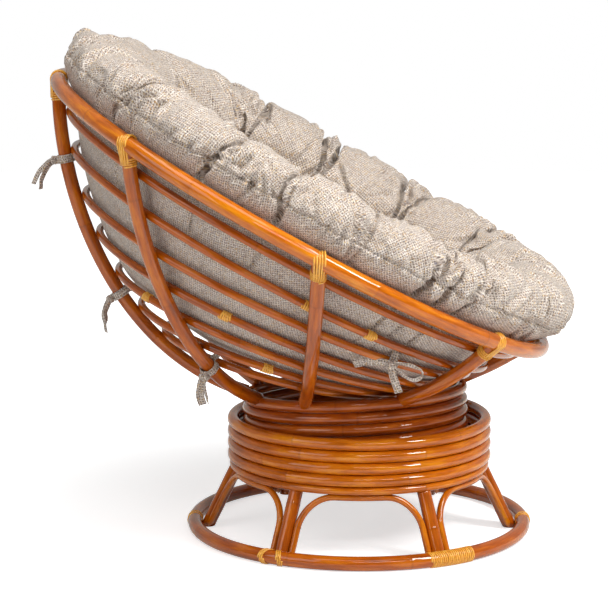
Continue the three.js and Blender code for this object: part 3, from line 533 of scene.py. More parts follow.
def ribRoute(index):
    angle = rib["turn"] + 2 * pi * index / rib["count"]
    out = rimFront * cos(angle) + side * sin(angle)
    down = hub - rimCentre
    down = unit(down - out * (down @ out))
    turns = np.linspace(0, pi, 193)[:, None]
    trail = onBowl(rimCentre, out * np.cos(turns) + down * np.sin(turns), insetOutline(0))
    offset = trail - upperTop
    height = offset @ ringUp
    away = np.hypot(height, norm(offset - height[:, None] * ringUp, axis=1) - lean["ringRadius"])
    last = int(np.argmax(np.diff(away) > 0))
    return np.vstack([trail[:last + 1], trail[last] + unit(trail[last] - trail[last - 1]) * rib["lip"]]), out


def hoopRoute(index):
    tilt = radians(hoop["tilts"][index])
    centre = rimCentre + (hub - rimCentre) * hoop["downShares"][index]
    front = np.array([0, -cos(tilt), -sin(tilt)])
    angles = rib["turn"] + np.linspace(0, 2 * pi, 192, endpoint=False)[:, None]
    inset = rib["solidPole"] * cos(pi / rib["count"]) + hoop["solidPole"] + hoop["clears"][index]
    return onBowl(centre, front * np.cos(angles) + side * np.sin(angles), insetOutline(inset))


ribRoutes = [ribRoute(i) for i in range(rib["count"])]
for i, (route, _) in enumerate(ribRoutes):
    addPole(f"ribPole{i + 1}", f"rib_{i + 1}", route, rib["pole"], 81 + i, brownPole, 24, endRound=True)
hoopRoutes = [hoopRoute(i) for i in range(7)]
for i, route in enumerate(hoopRoutes):
    addPole(f"hoopPole{i + 1}", f"hoop_{i + 1}", route, hoop["pole"], 91 + i, brownPole, 16, True)
print("bowl poles are made")

# Peel bindings, each strand a tube as thick as half the peel's width.
strand = {"pole": 0.0019, "pitch": 0.0045, "lift": 0.0001}  # peel 4 mm wide


def strandRun(points, seed):
    points = np.asarray(points, float)
    zero = np.zeros(len(points))
    return points, np.full(len(points), strand["pole"]), lengthsOf(points) + 0.31 * seed, zero + 1, zero


def acrossOf(ahead, out):
    ahead = unit(ahead)
    out = unit(out - ahead * (out @ ahead))
    return ahead, out, np.cross(ahead, out)


def coilPoints(start, ahead, out, radius, turns, pitch, slant=0.0, perTurn=18):
    ahead, out, across = acrossOf(ahead, out)
    angle = np.linspace(0, 2 * pi * turns, int(perTurn * turns) + 1)[:, None]
    along = pitch * angle / (2 * pi) + slant * radius * np.cos(angle)
    return start + ahead * along + radius * (np.cos(angle) * out + np.sin(angle) * across)


def addBinding(name, runs, body, *nodes):
    binding = tubeMesh(name, [strandRun(points, i) for i, points in enumerate(runs)], 8)
    return placePiece(binding, peel, "peel_binding", body, *nodes)


headBinding = {
    "collarStart": 0.024, "collarAhead": 0.016, "collarTurns": 4, "straps": 5, "strapWidth": 0.02, "strapEnd": 0.014,
    "gather": 0.85, "turnOver": radians(100),
}
for i, (route, out) in enumerate(ribRoutes):
    head, near = route[0], headBinding["collarStart"]
    far = near + headBinding["strapEnd"]
    ahead, outward, across = acrossOf(route[3] - head, out)
    start, beyond = placesAt(route, [near, near + headBinding["collarAhead"]])
    runs = [coilPoints(start, beyond - start, out, rib["pole"] + strand["lift"], headBinding["collarTurns"],
                       strand["pitch"])]
    over = bowl["rimPole"] + strand["lift"]
    for aside in np.linspace(-1, 1, headBinding["straps"]) * headBinding["strapWidth"] / 2:
        low = sqrt(rib["pole"] ** 2 - (headBinding["gather"] * aside) ** 2) + strand["lift"]
        turn = np.linspace(headBinding["turnOver"], -headBinding["turnOver"], 22)
        bend = [(-over * cos(t), over * sin(t)) for t in turn]  # along the rib and outward
        path = [(far, low + 0.0008), (near, low + 0.0012)] + bend + [(near, -low - 0.0012), (far, -low - 0.0008)]
        runs.append([head + ahead * a + outward * o + across * aside * (headBinding["gather"] if abs(a) > 0.02 else 1)
                     for a, o in path])
    addBinding(f"headBinding{i + 1}", runs, "seat")

ringWinding = {"degrees": 211, "width": 0.098, "parts": ((-4.3, 0.48, 0.22), (4.0, 0.52, -0.03))}
footLashing = {"degrees": (150, 30, 330), "width": 0.012, "turns": 3, "spread": 4.4}
footWrap = {"degrees": (90, 270), "width": 0.005, "turns": 2, "slant": 0.15, "spread": 1.2}


def ringCoil(degrees, width, turns, slant):
    radius, steps = floorRing["pole"] + strand["lift"], int(20 * turns) + 1
    angle = np.linspace(0, 2 * pi * turns, steps)
    along = np.linspace(-width / 2, width / 2, steps) + slant * radius * np.cos(angle)
    middle = radians(degrees) + along / floorRing["radius"]
    outward = np.stack([np.cos(middle), np.sin(middle), np.zeros(steps)], axis=1)
    points = (base + up * floorRing["pole"] + outward * floorRing["radius"]
              + radius * (np.cos(angle)[:, None] * outward + np.sin(angle)[:, None] * up))
    points[:, 2] = np.maximum(points[:, 2], strand["pole"] + 0.0002)  # the strands lie flat on the floor
    return points


turns = ringWinding["width"] / strand["pitch"]
addBinding("floorRingWinding", [
    ringCoil(ringWinding["degrees"] + shift, ringWinding["width"] * share, turns * share, slant)
    for shift, share, slant in ringWinding["parts"]], "base", "floor_ring_winding")
for i, degrees in enumerate(footLashing["degrees"]):
    addBinding(f"footLashing{i + 1}", [
        ringCoil(degrees + slant * footLashing["spread"], footLashing["width"], footLashing["turns"], slant)
        for slant in (0.5, -0.5)], "base")
for i, degrees in enumerate(footWrap["degrees"]):
    addBinding(f"footWrap{i + 1}", [
        ringCoil(degrees + sign * footWrap["spread"], footWrap["width"], footWrap["turns"], footWrap["slant"])
        for sign in (-1, 1)], "base")

hoopSplices = [(1, 0.744), (1, 0.791), (3, 0.679), (5, 0.701), (4, 0.581)]  # hoop and share of the way round
for i, (index, share) in enumerate(hoopSplices):
    route = hoopRoutes[index]
    spot = int(round(share * len(route))) % len(route)
    ahead = route[(spot + 2) % len(route)] - route[spot - 2]
    out = route[spot] - rimCentre
    start = route[spot] - unit(ahead) * 0.009
    runs = [coilPoints(start, ahead, out, hoop["pole"] + strand["lift"], 4, strand["pitch"], slant, 14)
            for slant in (0.35, -0.35)]
    addBinding(f"hoopSplice{i + 1}", runs, "seat")
print("bindings are wound")


def metalFinish(name, colour, metallic, roughness, speck, coat):
    material, add, shader = newMaterial(name)
    place = add("TexCoord", {}).outputs["Object"]
    grain = add("TexNoise", {"Scale": speck, "Detail": 4, "Vector": place})
    shade = setRamp(add("ValToRGB", {"Fac": grain}), list(zip((0.3, 0.55, 0.75), colour)))
    rough = add("MapRange", {"Value": grain, "To Min": roughness - 0.08, "To Max": roughness + 0.12})
    bump = add("Bump", {"Strength": 0.15, "Distance": 0.0002, "Height": grain})
    setNode(shader, {
        "Base Color": shade, "Roughness": rough, "Normal": bump, "Metallic": metallic, "Coat Weight": coat})
    return material


# Pressed steel, powder coated black: satin, with a fine orange-peel grain of about 1 mm.
blackSteel = metalFinish("powderCoatedBlackSteel", ("#1a1a1b", "#232325", "#303032"), 0.0, 0.45, 900, 0.1)
# Turned and wound steel, zinc plated: pale grey metal, with cloudy dull patches 4 mm wide.
zincSteel = metalFinish("zincPlatedSteel", ("#8f9397", "#b4b8bc", "#cfd2d4"), 1.0, 0.34, 260, 0.0)
for node in ("swivel_plate", "turntable", "rocker_plate"):
    paint(frame["nodes"][node], blackSteel)
for node in ("ball_race", "kingpin", "rocker_axle"):
    paint(frame["nodes"][node], zincSteel)

coil = {"radius": 0.014, "wire": 0.00175, "curls": 3, "perCurl": 24}
for i in range(4):  # each spring stands on the turntable, under the rocker plate
    node = f"spring_{i + 1}"
    low, high = (np.array(corner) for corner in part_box(node))
    foot, head = low[2] + coil["wire"], high[2] - coil["wire"]
    share = np.linspace(0, 1, coil["curls"] * coil["perCurl"] + 1)
    angle = 2 * pi * coil["curls"] * share
    x, y = (low[:2] + high[:2]) / 2
    places = np.stack([x + coil["radius"] * np.cos(angle), y + coil["radius"] * np.sin(angle),
                       foot + (head - foot) * share], axis=1)
    still = np.zeros(len(places))
    spring = tubeMesh(f"coilSpring{i + 1}", [(places, still + coil["wire"], lengthsOf(places), still + 1, still)], 10)
    paint(spring, zincSteel)
    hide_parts(node)
    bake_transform(spring)


def tweedFinish():
    # Loose weave of wool-mix slub yarn, greige with cream, ochre and grey-blue flecks: matt, slightly hairy.
    # The stitches are drawn 2 by 3.5 mm and thicker yarns 5 mm apart both ways, about as large as in the
    # photograph, because the yarn itself is too fine to show.
    material, add, shader = newMaterial("wovenGreigeTweed")
    cover = add("UVMap", {"uv_map": "cover"})
    wander = add("TexNoise", {"Scale": 90, "Detail": 1, "Vector": cover}).outputs["Color"]
    shifted = add("Mix", {"data_type": "RGBA", "blend_type": "LINEAR_LIGHT", 0: 0.0012, 6: cover, 7: wander})
    stitches, rows = [], []
    for stretch, shift in (((1, 0.55, 1), 0.0), ((0.55, 1, 1), 7.3)):
        lay = add("Mapping", {"Scale": stretch, "Location": (shift, shift, 0), "Vector": shifted})
        stitches.append(add("TexVoronoi", {
            "voronoi_dimensions": "2D", "Scale": 520, "Randomness": 0.3, "Vector": lay}))
    over = add("Math", {"operation": "LESS_THAN", 0: stitches[0], 1: stitches[1]})
    dice = add("Mix", {
        "data_type": "RGBA", 0: over, 6: stitches[1].outputs["Color"], 7: stitches[0].outputs["Color"]})
    chance = add("SeparateColor", {"Color": dice}).outputs
    broad = add("TexNoise", {"Scale": 38, "Detail": 3, "Roughness": 0.6, "Vector": cover})
    tone = add("Math", {"operation": "MULTIPLY_ADD", 0: broad, 1: 0.36, 2: 0.01})
    tossed = add("Math", {"operation": "MULTIPLY_ADD", 0: chance["Red"], 1: 0.62, 2: tone})
    for axis in "XY":
        rows.append(add("TexWave", {
            "wave_type": "BANDS", "bands_direction": axis, "Scale": 60, "Distortion": 1.6, "Detail": 2,
            "Detail Scale": 1.3, "Vector": cover}).outputs["Fac"])
    check = add("Math", {"operation": "MAXIMUM", 0: rows[0], 1: rows[1]})
    raised = add("Math", {"operation": "MULTIPLY_ADD", 0: check, 1: 0.76, 2: -0.47})
    woven = add("Math", {"operation": "ADD", 0: tossed, 1: raised})
    ground = setRamp(add("ValToRGB", {"Fac": woven}), [
        (0.0, "#6a5e56"), (0.2, "#978a7f"), (0.45, "#b9aa9e"), (0.7, "#d0c3b6"), (0.92, "#ebe0d5"), (1.0, "#f6efe6")])
    fleck = setRamp(add("ValToRGB", {"Fac": chance["Blue"]}), [
        (0.0, "#7d88a0"), (0.33, "#9a7450"), (0.6, "#cf9c48"), (0.95, "#ecd29a")])
    rare = add("MapRange", {"Value": chance["Green"], "From Min": 0.82, "From Max": 0.88, "To Max": 0.7})
    flecked = add("Mix", {"data_type": "RGBA", 0: rare, 6: ground, 7: fleck})
    # painted shade: the colour darkens towards #51463f in the hollows where the stitches meet
    depth = add("Math", {"operation": "MINIMUM", 0: stitches[0], 1: stitches[1]})
    stitchGapShade = add("MapRange", {"Value": depth, "From Min": 0.25, "From Max": 0.55, "To Max": 0.5})
    withGapShade = add("Mix", {"data_type": "RGBA", 0: stitchGapShade, 6: flecked, 7: linear("#51463f")})
    height = add("Math", {"operation": "SUBTRACT", 0: check, 1: depth})
    bump = add("Bump", {"Strength": 0.6, "Distance": 0.0012, "Height": height})
    setNode(shader, {"Base Color": withGapShade, "Normal": bump, "Roughness": 0.95, "Specular IOR Level": 0.2,
                     "Sheen Weight": 0.2, "Sheen Roughness": 0.5})
    return material


tweed = tweedFinish()

cushion = {
    "inset": 0.0334, "rest": (0.25, 0.014), "bottomDepth": 0.305, "bottom": ((0.0, 1.0), (0.4, 0.97), (0.75, 0.7)),
    "roll": ((0.5505, 0.0205), (0.569, 0.048), (0.5735, 0.082), (0.556, 0.112), (0.512, 0.1265),
             (0.464, 0.118), (0.428, 0.089), (0.406, 0.056), (0.386, 0.024), (0.35, -0.018),
             (0.295, -0.068), (0.225, -0.115), (0.11, -0.15), (0.0, -0.165)),
    "edge": (0.565, 0.046), "seam": (0.57, 0.056), "corner": (0.556, 0.112), "crest": (0.509, 0.1285),
    "tufts": (0.39, 0.03), "innerTufts": (0.23, -0.112),
    "creases": (  # degrees at the edge, on the crest, at the tuft and inside, bow, share of the depth outside, inside
        (9, 11, 12, 12, 0, 0.6, 0.7), (26, 28, 32.2, 27, 0, 0.7, 0.7), (44, 38.5, 33.8, 40, 0, 0.8, 0.6),
        (58, 59, 59.2, 56, 0, 0.9, 1), (68, 67, 60.8, 68, 0, 0.9, 0), (85, 86, 87.2, 83, 0, 0.9, 1),
        (93, 91.3, 88.8, 96, 0, 0.9, 0), (107, 108.5, 113.7, 109, 0, 0.7, 0.6), (120, 119, 115.3, 122, 0, 1, 0.8),
        (141, 144, 142, 142, 2, 0.9, 0.8), (168, 168, 168, 168, -2, 0.6, 0.7), (196, 194, 196, 196, 1, 0.55, 0.7),
        (221, 224, 222, 222, 2, 0.6, 0.7), (246.5, 249, 254.2, 247, 1, 1, 1), (263.5, 263.5, 255.8, 263, -1, 0.95, 0.5),
        (280, 281, 280, 280, 0, 0.3, 0.9), (295.5, 297.5, 302.8, 296, 1.2, 1, 1),
        (300.5, 301.5, 304.2, 304, 0.5, 0.7, 0), (306.5, 309.5, 305.6, 312, 1.6, 0.95, 0.5),
        (331, 329, 331, 331, 1, 0.5, 0.7), (350, 350, 351, 351, -1, 0.55, 0.7)),
    "narrowest": 0.0035, "widest": 0.0075, "depth": 0.028, "flank": 0.044, "under": 0.3, "tuft": 0.02,
    "tuftReach": 0.018, "ringGroove": (0.007, 0.02), "innerGroove": (0.006, 0.022),  # depth and half width
    "starved": 0.007, "fullEnds": 0.009, "frontFull": 0.016, "backSag": 0.03, "lumps": (0.0018, 0.0062),
    "slack": 0.075, "pressure": 4.0, "frames": 20, "outward": 0.016, "inward": 0.012, "sideways": 0.006,
    "crease": 0.011, "seamGroove": 0.0045, "pleats": 420, "pleatDepth": 0.01, "foldRidge": 0.45, "coverTurn": 27,
}


def within180(degrees):
    return (degrees + 180) % 360 - 180


def smoothLine(points, per=24):
    points = np.asarray(points, float)
    padded = np.vstack([2 * points[0] - points[1], points, 2 * points[-1] - points[-2]])
    t = np.linspace(0, 1, per, endpoint=False)[:, None]
    pieces = []
    for a, b, c, d in zip(padded, padded[1:], padded[2:], padded[3:]):
        pieces.append(0.5 * (2 * b + (c - a) * t + (2 * a - 5 * b + 4 * c - d) * t ** 2
                             + (3 * b - a - 3 * c + d) * t ** 3))
    return np.vstack(pieces + [points[-1:]])


def easeBetween(value, low, high):
    share = np.clip((value - low) / (high - low), 0, 1)
    return share * share * (3 - 2 * share)


def cushionSection():
    outline = insetOutline(cushion["inset"])
    deep, mouth = cushion["rest"]
    radiusAt = lambda depth: float(np.interp(depth, outline[:, 1], outline[:, 0]))
    points = [(out * radiusAt(deep), -(deep + (cushion["bottomDepth"] - deep) * down))
              for out, down in cushion["bottom"]]
    points += [(radiusAt(depth), -depth) for depth in np.linspace(deep, mouth, 5)]
    return smoothLine(points + list(cushion["roll"]))


def rowsAlong(section, lengths, marks):
    # rows lie 11 mm apart on the roll, 20 mm elsewhere, and closer at the edge seam and at the rings of tufts
    fine = np.linspace(0.004, lengths[-1] - 0.004, 6000)
    spacing = np.where((fine > marks[0][0] - 0.07) & (fine < marks[1][0]), 0.011, 0.02)
    for mark, near, reach in marks:
        spacing = np.minimum(spacing, near + (0.02 - near) * np.clip(np.abs(fine - mark) / reach, 0, 1) ** 1.3)
    count = np.concatenate([[0], np.cumsum(np.diff(fine) / spacing[1:])])
    return np.interp(np.linspace(0, count[-1], int(count[-1]) + 1), count, fine)


drawnFolds = [  # depth and width in mm, then its course: degrees round, and mm above the edge of the bowl
    (13, 3.6, (246, -37), (248, -1), (248, 23), (250, 33), (250, 51)), (7.5, 4.4, (254, 7), (256, 23)),
    (9, 4.2, (252, 31), (254, 37), (254, 59)), (4, 4, (257, 5), (256, 39), (256, 51)),
    (13, 3.6, (264, -39), (264, -5), (264, 53)), (4, 6, (270, 69), (272, 71)), (6, 6, (275, 91), (278, 27)),
    (7, 5, (276, 93), (277, 51)), (6, 6, (280, 59), (280, 21)), (4, 6, (282, 85), (283, 35)),
    (7.5, 3.6, (296, 159), (293, 73), (294, 67)), (14, 3.8, (294, 101), (294, 63), (295, 39), (296, 5)),
    (12, 3.8, (302, 137), (300, 89), (300, 51)), (14, 3.8, (311, 139), (308, 71), (306, 33)),
    (7, 4, (305, 67), (306, 33)), (13, 3.6, (306, 21), (306, -31)), (5, 6, (300, 3), (301, -31)),
    (8, 7, (322, 95), (316, 37)), (7, 6, (322, 61), (320, 31)), (6, 6, (326, 61), (326, 31)),
    (8, 5, (324, 13), (326, -37)), (5, 6, (330, 3), (333, -45)), (5, 5, (326, 19), (337, -3)),
    (10, 7, (204, 89), (198, 125), (175, 163)), (14, 4, (215, 101), (209, 112)),
    (13, 6, (215, 95), (216, 59), (218, 35)), (16, 5, (222, 84), (223, 53), (222, 29)),
    (16, 4.4, (230, 60), (228, 41), (227, 20)), (15, 5.4, (225, 24), (223, -5), (222, -32)),
    (14, 6, (232, 58), (232, 31), (232, 8)), (10, 6, (216, 24), (215, -13), (216, -43)),
    (9, 7, (202, 24), (198, -17), (199, -43)), (11, 7, (208, 24), (207, 53), (206, 88)),
    (11, 6, (193, 12), (194, 49), (194, 74)), (5, 4, (212, 37), (215, 37)), (7, 6, (144, 117), (144, 155), (145, 225)),
    (9, 6, (128, 157), (124, 211), (120, 245)), (13, 4.4, (120, 145), (122, 205), (121, 240)),
    (10, 5, (108, 121), (109, 199)), (14, 4, (90, 161), (90, 211), (88, 247)), (14, 4, (86, 117), (86, 201), (86, 245)),
    (11, 5, (72, 173), (72, 203)), (14, 4, (64, 173), (60, 215), (58, 249)), (7, 5, (55, 171), (56, 211), (56, 247)),
    (12, 5, (36, 157), (39, 115)), (8, 5, (30, 115), (36, 117)), (5, 6, (36, 229), (36, 201)),
    (8, 5, (14, 183), (18, 109)),
]


def columnShares(width):
    # columns lie close at a crease and wider apart on the puff between two
    spots, step = [0.0], cushion["narrowest"]
    while spots[-1] < width / 2:
        spots.append(spots[-1] + step)
        step = min(cushion["widest"], step * 1.35)
    half = np.array(spots[:-1]) / spots[-1] / 2
    return np.concatenate([half, [0.5], 1 - half[:0:-1]])


def makeCushion():
    section = cushionSection()
    lengths = lengthsOf(section)
    lengthAt = lambda spot: float(lengths[np.argmin(np.hypot(*(section - np.array(spot)).T))])
    edge, seam, crest, corner, ring, inner = (
        lengthAt(cushion[name]) for name in ("edge", "seam", "crest", "corner", "tufts", "innerTufts"))
    along = rowsAlong(section, lengths, ((seam, 0.0034, 0.03), (ring, 0.007, 0.06), (inner, 0.009, 0.05)))
    along[np.argmin(np.abs(along - seam))] = seam
    out, high = np.interp(along, lengths, section[:, 0]), np.interp(along, lengths, section[:, 1])
    ahead = unit(np.gradient(np.stack([out, high], axis=1), axis=0))
    normal = np.stack([ahead[:, 1], -ahead[:, 0]], axis=1)
    s, r = along[:, None], out[:, None]

    table = np.array(cushion["creases"], float)
    upper = easeBetween(s, edge - 0.01, crest)
    hollow = easeBetween(s, crest, ring)
    deep = easeBetween(s, ring, inner)
    lines = (table[:, 0] + (table[:, 1] - table[:, 0]) * upper + (table[:, 2] - table[:, 1]) * hollow
             + (table[:, 3] - table[:, 2]) * deep)
    lines = lines + table[:, 4] * np.sin(pi * np.clip((s - edge + 0.02) / (crest - edge + 0.02), 0, 1))
    nextLines = np.concatenate([lines[:, 1:], lines[:, :1] + 360], axis=1)
    spans = (np.radians(nextLines - lines) * r).max(axis=0)
    shares = [columnShares(span) for span in spans]
    start = np.concatenate([np.full(len(part), k) for k, part in enumerate(shares)])
    share = np.concatenate(shares)
    stop = (start + 1) % len(table)
    degrees = lines[:, start] + (nextLines - lines)[:, start] * share
    theta = np.radians(degrees)
    width = np.radians(nextLines - lines)[:, start] * r
    fromStart, fromStop = width * share, width * (1 - share)

    # how far each spot lies below the full roll: creases, rings between tufts, and tufts
    outer = easeBetween(s, edge - 0.30, edge + 0.01) * (1 - easeBetween(s, ring - 0.02, ring + 0.02))
    under = 1 - easeBetween(s, edge - 0.10, edge - 0.01)
    hollowZone = easeBetween(s, ring - 0.02, ring + 0.02) * (1 - easeBetween(s, inner + 0.01, inner + 0.09))
    outerDeep = outer * (1 - (1 - cushion["under"]) * under)
    deepness = cushion["depth"] * (table[:, 5] * outerDeep + table[:, 6] * hollowZone)
    flank = np.minimum(cushion["flank"], width / 2)
    wall = lambda distance: 1 - (1 - (1 - np.clip(distance / flank, 0, 1)) ** 2.6) ** (1 / 2.6)
    lift = -deepness[:, start] * wall(fromStart) - deepness[:, stop] * wall(fromStop)
    nearest = np.minimum(fromStart, fromStop)
    nearRing = bell(s - ring, cushion["ringGroove"][1])
    nearInner = bell(s - inner, cushion["innerGroove"][1])
    lift -= cushion["ringGroove"][0] * nearRing + cushion["innerGroove"][0] * nearInner
    strength = np.where(table[:, 6] >= 0.7, 1.0, 0.0)
    for index in range(len(table)):
        away = np.abs(within180(degrees - lines[:, index:index + 1])) * pi / 180 * r
        for mark, share in ((ring, 0.5 + 0.5 * strength[index]), (inner, 0.8 * strength[index])):
            lift -= cushion["tuft"] * share * np.exp(-(np.hypot(s - mark, away) / cushion["tuftReach"]) ** 1.3)

    ends = np.clip(np.abs(np.cos(theta + 0.12)) - 0.55, 0, 1) / 0.45
    lift += cushion["fullEnds"] * bell(s - corner, 0.034) * ends
    lift -= cushion["starved"] * easeBetween(s, edge - 0.02, edge + 0.02)
    atBack, atFront = easeBetween(-np.cos(theta + 0.1), 0.72, 1.0), easeBetween(np.cos(theta - 0.15), 0.55, 0.95)
    lift += (cushion["frontFull"] * atFront - cushion["backSag"] * atBack) * bell(s - crest, 0.06)

    place = lambda amount: (rimCentre + (high[:, None] + normal[:, 1:] * amount)[..., None] * rimUp
                            + ((r + normal[:, :1] * amount) * np.cos(theta))[..., None] * rimFront
                            + ((r + normal[:, :1] * amount) * np.sin(theta))[..., None] * side)
    grid = place(lift)
    rows, around = theta.shape
    broad = np.array([[noise.noise(Vector(p * 9)) + 0.5 * noise.noise(Vector(p * 23)) for p in line] for line in grid])
    full = easeBetween(s, edge - 0.03, edge + 0.02)
    lumps = cushion["lumps"][0] + cushion["lumps"][1] * full
    lift = lift + broad * lumps * np.clip(nearest / 0.02, 0.2, 1)
    grid = place(lift)

    faces = [(i * around + j, i * around + (j + 1) % around, (i + 1) * around + (j + 1) % around, (i + 1) * around + j)
             for j in range(around) for i in range(rows - 1)]
    mesh = bpy.data.meshes.new("tuftedCushion")
    mesh.from_pydata([tuple(p) for p in grid.reshape(-1, 3)], [], faces)
    piece = bpy.data.objects.new("tuftedCushion", mesh)
    bpy.context.collection.objects.link(piece)

    # the cover is cut flat, with straight yarns, as one disc above the edge seam and another below it
    corners = readAll(mesh.loops, "vertex_index", 1, int)
    below = np.repeat(np.tile(np.arange(rows - 1), around) < int(np.argmin(np.abs(along - seam))), 4)
    flat = np.repeat(along, around)[corners]
    reachAt = np.where(below, flat, along[-1] - flat)
    angle = (theta.ravel() + radians(cushion["coverTurn"]))[corners]
    addCover(mesh, reachAt * np.cos(angle), reachAt * np.sin(angle))
    bpy.ops.object.select_all(action="DESELECT")
    bpy.context.view_layer.objects.active = piece
    piece.select_set(True)
    bpy.ops.object.shade_smooth()

    # what the later stitching needs to know of each spot
    nearer = np.where(fromStart < fromStop, start, stop)
    creaseShare = table[nearer, 5] * outer + table[nearer, 6] * hollowZone
    spots = np.stack([np.cos(theta), np.sin(theta), s + 0 * theta], axis=-1)
    addAttribute(mesh, "spot", "FLOAT_VECTOR", "POINT", spots)
    addAttribute(mesh, "stitching", "FLOAT_VECTOR", "POINT", np.stack([nearest, creaseShare, r + 0 * theta], axis=-1))

    sewn = np.clip(1.15 - nearest / 0.010, 0, 1) * np.clip(table[start, 5] + 0.2, 0, 1)
    sewn = np.where(nearest < 0.004, 1.0, sewn) * (easeBetween(s, edge, edge + 0.02) + 0 * nearest)
    sewn = np.maximum(sewn, 1 - easeBetween(s, edge - 0.045, edge + 0.012))
    sewn = np.maximum(sewn, 0.9 * nearRing * bell(nearest, 0.03))
    sewn = np.maximum(sewn, easeBetween(s, inner + 0.03, inner + 0.09))
    reachOut = cushion["outward"] * easeBetween(s, edge - 0.01, edge + 0.03) + 0 * nearest
    marks = {"edge": edge, "seam": seam, "crest": crest, "ring": ring, "lines": lines, "along": along}
    return piece, sewn.ravel(), reachOut.ravel(), marks


def fillWithPressure(piece, sewn, reachOut):
    # the cover is cut larger than the sewn shape, held at seams, tufts and underside, and blown up by its filling
    mesh = piece.data
    group = piece.vertex_groups.new(name="sewn")
    levels = np.round(sewn * 20).astype(int)
    for level in range(1, 21):
        group.add([int(i) for i in np.flatnonzero(levels == level)], level / 20, "REPLACE")
    before, normals = readAll(mesh.vertices, "co", 3), readAll(mesh.vertices, "normal", 3)
    bpy.ops.object.modifier_add(type="CLOTH")
    cloth = piece.modifiers[-1]
    setAll(cloth.settings, {
        "vertex_group_mass": "sewn", "quality": 6, "use_pressure": True, "uniform_pressure_force": cushion["pressure"],
        "shrink_min": -cushion["slack"], "tension_stiffness": 20, "compression_stiffness": 20, "shear_stiffness": 8,
        "bending_stiffness": 0.35})
    cloth.settings.effector_weights.gravity = 0
    cloth.collision_settings.use_collision = False
    cloth.point_cache.frame_start, cloth.point_cache.frame_end = 1, cushion["frames"]
    for frameNumber in range(1, cushion["frames"] + 1):
        bpy.context.scene.frame_set(frameNumber)
    bpy.ops.object.modifier_apply(modifier=cloth.name)
    bpy.context.scene.frame_set(1)
    moved = readAll(mesh.vertices, "co", 3) - before
    outward = (moved * normals).sum(axis=1)
    limited = np.clip(outward, -cushion["inward"], reachOut)
    sideways = moved - outward[:, None] * normals
    length = norm(sideways, axis=1)[:, None]
    sideways *= np.minimum(1, cushion["sideways"] / np.maximum(length, 1e-9)) * (reachOut > 0)[:, None]
    print("filling moves the cover %.1f to %.1f mm, %.1f on average" % (
        outward.min() * 1000, outward.max() * 1000, outward[reachOut > 0.004].mean() * 1000))
    mesh.vertices.foreach_set("co", (before + limited[:, None] * normals + sideways).ravel())
    mesh.update()
    piece.vertex_groups.remove(piece.vertex_groups["sewn"])


def stitchCover(piece, marks):
    # creases, the edge seam, the drawn folds, and short pleats where the cover is gathered: at tufts, crest and seam
    mesh = piece.data
    known = []
    for name in ("spot", "stitching"):
        known.append(readAll(mesh.attributes[name].data, "vector", 3, np.float32).astype(float))
        mesh.attributes.remove(mesh.attributes[name])
    (cosine, sine, s), (nearest, strength, r) = known[0].T, known[1].T
    degrees = np.degrees(np.arctan2(sine, cosine))
    edge, seam, crest, ring = marks["edge"], marks["seam"], marks["crest"], marks["ring"]
    lift = -cushion["crease"] * strength * np.exp(-(nearest / 0.0034) ** 1.4)
    lift -= cushion["seamGroove"] * bell(s - seam, 0.0024)
    for depth, wide, *course in drawnFolds:
        course = np.array(course, float)
        middle, reach = course.mean(axis=0), np.ptp(course[:, 1]) / 2000 + 0.04
        near = np.flatnonzero((np.abs(s - edge - middle[1] / 1000) < reach)
                              & (np.abs(within180(degrees - middle[0])) < 9))
        across = within180(degrees[near] - middle[0]) * pi / 180 * r[near]
        spots = np.stack([across, s[near] - edge], axis=1)
        line = np.stack([(course[:, 0] - middle[0]) * pi / 180 * r[near].mean(), course[:, 1] / 1000], axis=1)
        away, beside = np.full(len(near), 1.0), np.zeros(len(near))
        for a, b in zip(line, line[1:]):
            length, ahead = norm(b - a), unit(b - a)
            apart = spots - a - np.clip((spots - a) @ ahead, 0, length)[:, None] * ahead
            closer = norm(apart, axis=1) < away
            away[closer] = norm(apart, axis=1)[closer]
            beside[closer] = (apart @ np.array([-ahead[1], ahead[0]]))[closer]
        ridge = cushion["foldRidge"] * bell(beside * 1000 / wide - 2.2, 1.3) * (away < 0.03)
        lift[near] -= depth / 1000 * (np.exp(-(away / wide * 1000) ** 1.5) - ridge)
    chance = np.random.default_rng(12)
    clear = np.clip(nearest / 0.014, 0.15, 1)
    for _ in range(cushion["pleats"]):
        kind = chance.choice(5, p=(0.14, 0.24, 0.34, 0.06, 0.22))
        index = chance.integers(marks["lines"].shape[1])
        height = (ring - 0.055, crest + 0.015, edge + 0.022, ring + 0.06, (edge + crest) / 2)[kind]
        middle = height + chance.normal(0, 0.014)
        reach = (0.05, 0.045, 0.034, 0.05, 0.04)[kind] * chance.uniform(0.6, 1.5)
        offset = chance.normal(0, 1) * (0.04, 0.09, 0.16, 0.05, 0.03)[kind]
        slant = chance.normal(0, 0.3) + (0.5 * np.sign(offset) if kind in (0, 4) else 0)
        near = np.flatnonzero(np.abs(s - middle) < reach)
        across = within180(degrees[near] - np.interp(middle, marks["along"], marks["lines"][:, index]))
        across = across * pi / 180 * r[near] - offset - slant * (s[near] - middle)
        fade = (1 - ((s[near] - middle) / reach) ** 2) ** 1.5
        wide = chance.uniform(0.0038, 0.007)
        fold = bell(across, wide) - 0.6 * bell(across - 1.9 * wide * np.sign(slant), 1.2 * wide)
        lift[near] -= cushion["pleatDepth"] * chance.uniform(0.25, 1) * fade * fold * clear[near]
    places = readAll(mesh.vertices, "co", 3) + readAll(mesh.vertices, "normal", 3) * lift[:, None]
    mesh.vertices.foreach_set("co", places.ravel())
    mesh.update()


pad, sewn, reachOut, marks = makeCushion()
fillWithPressure(pad, sewn, reachOut)
applyModifier(pad, "SUBSURF", {"levels": 1, "render_levels": 1})
stitchCover(pad, marks)
fillHoles()
placePiece(pad, tweed, "tweed", "seat", "cushion")
print("cushion is sewn and filled")

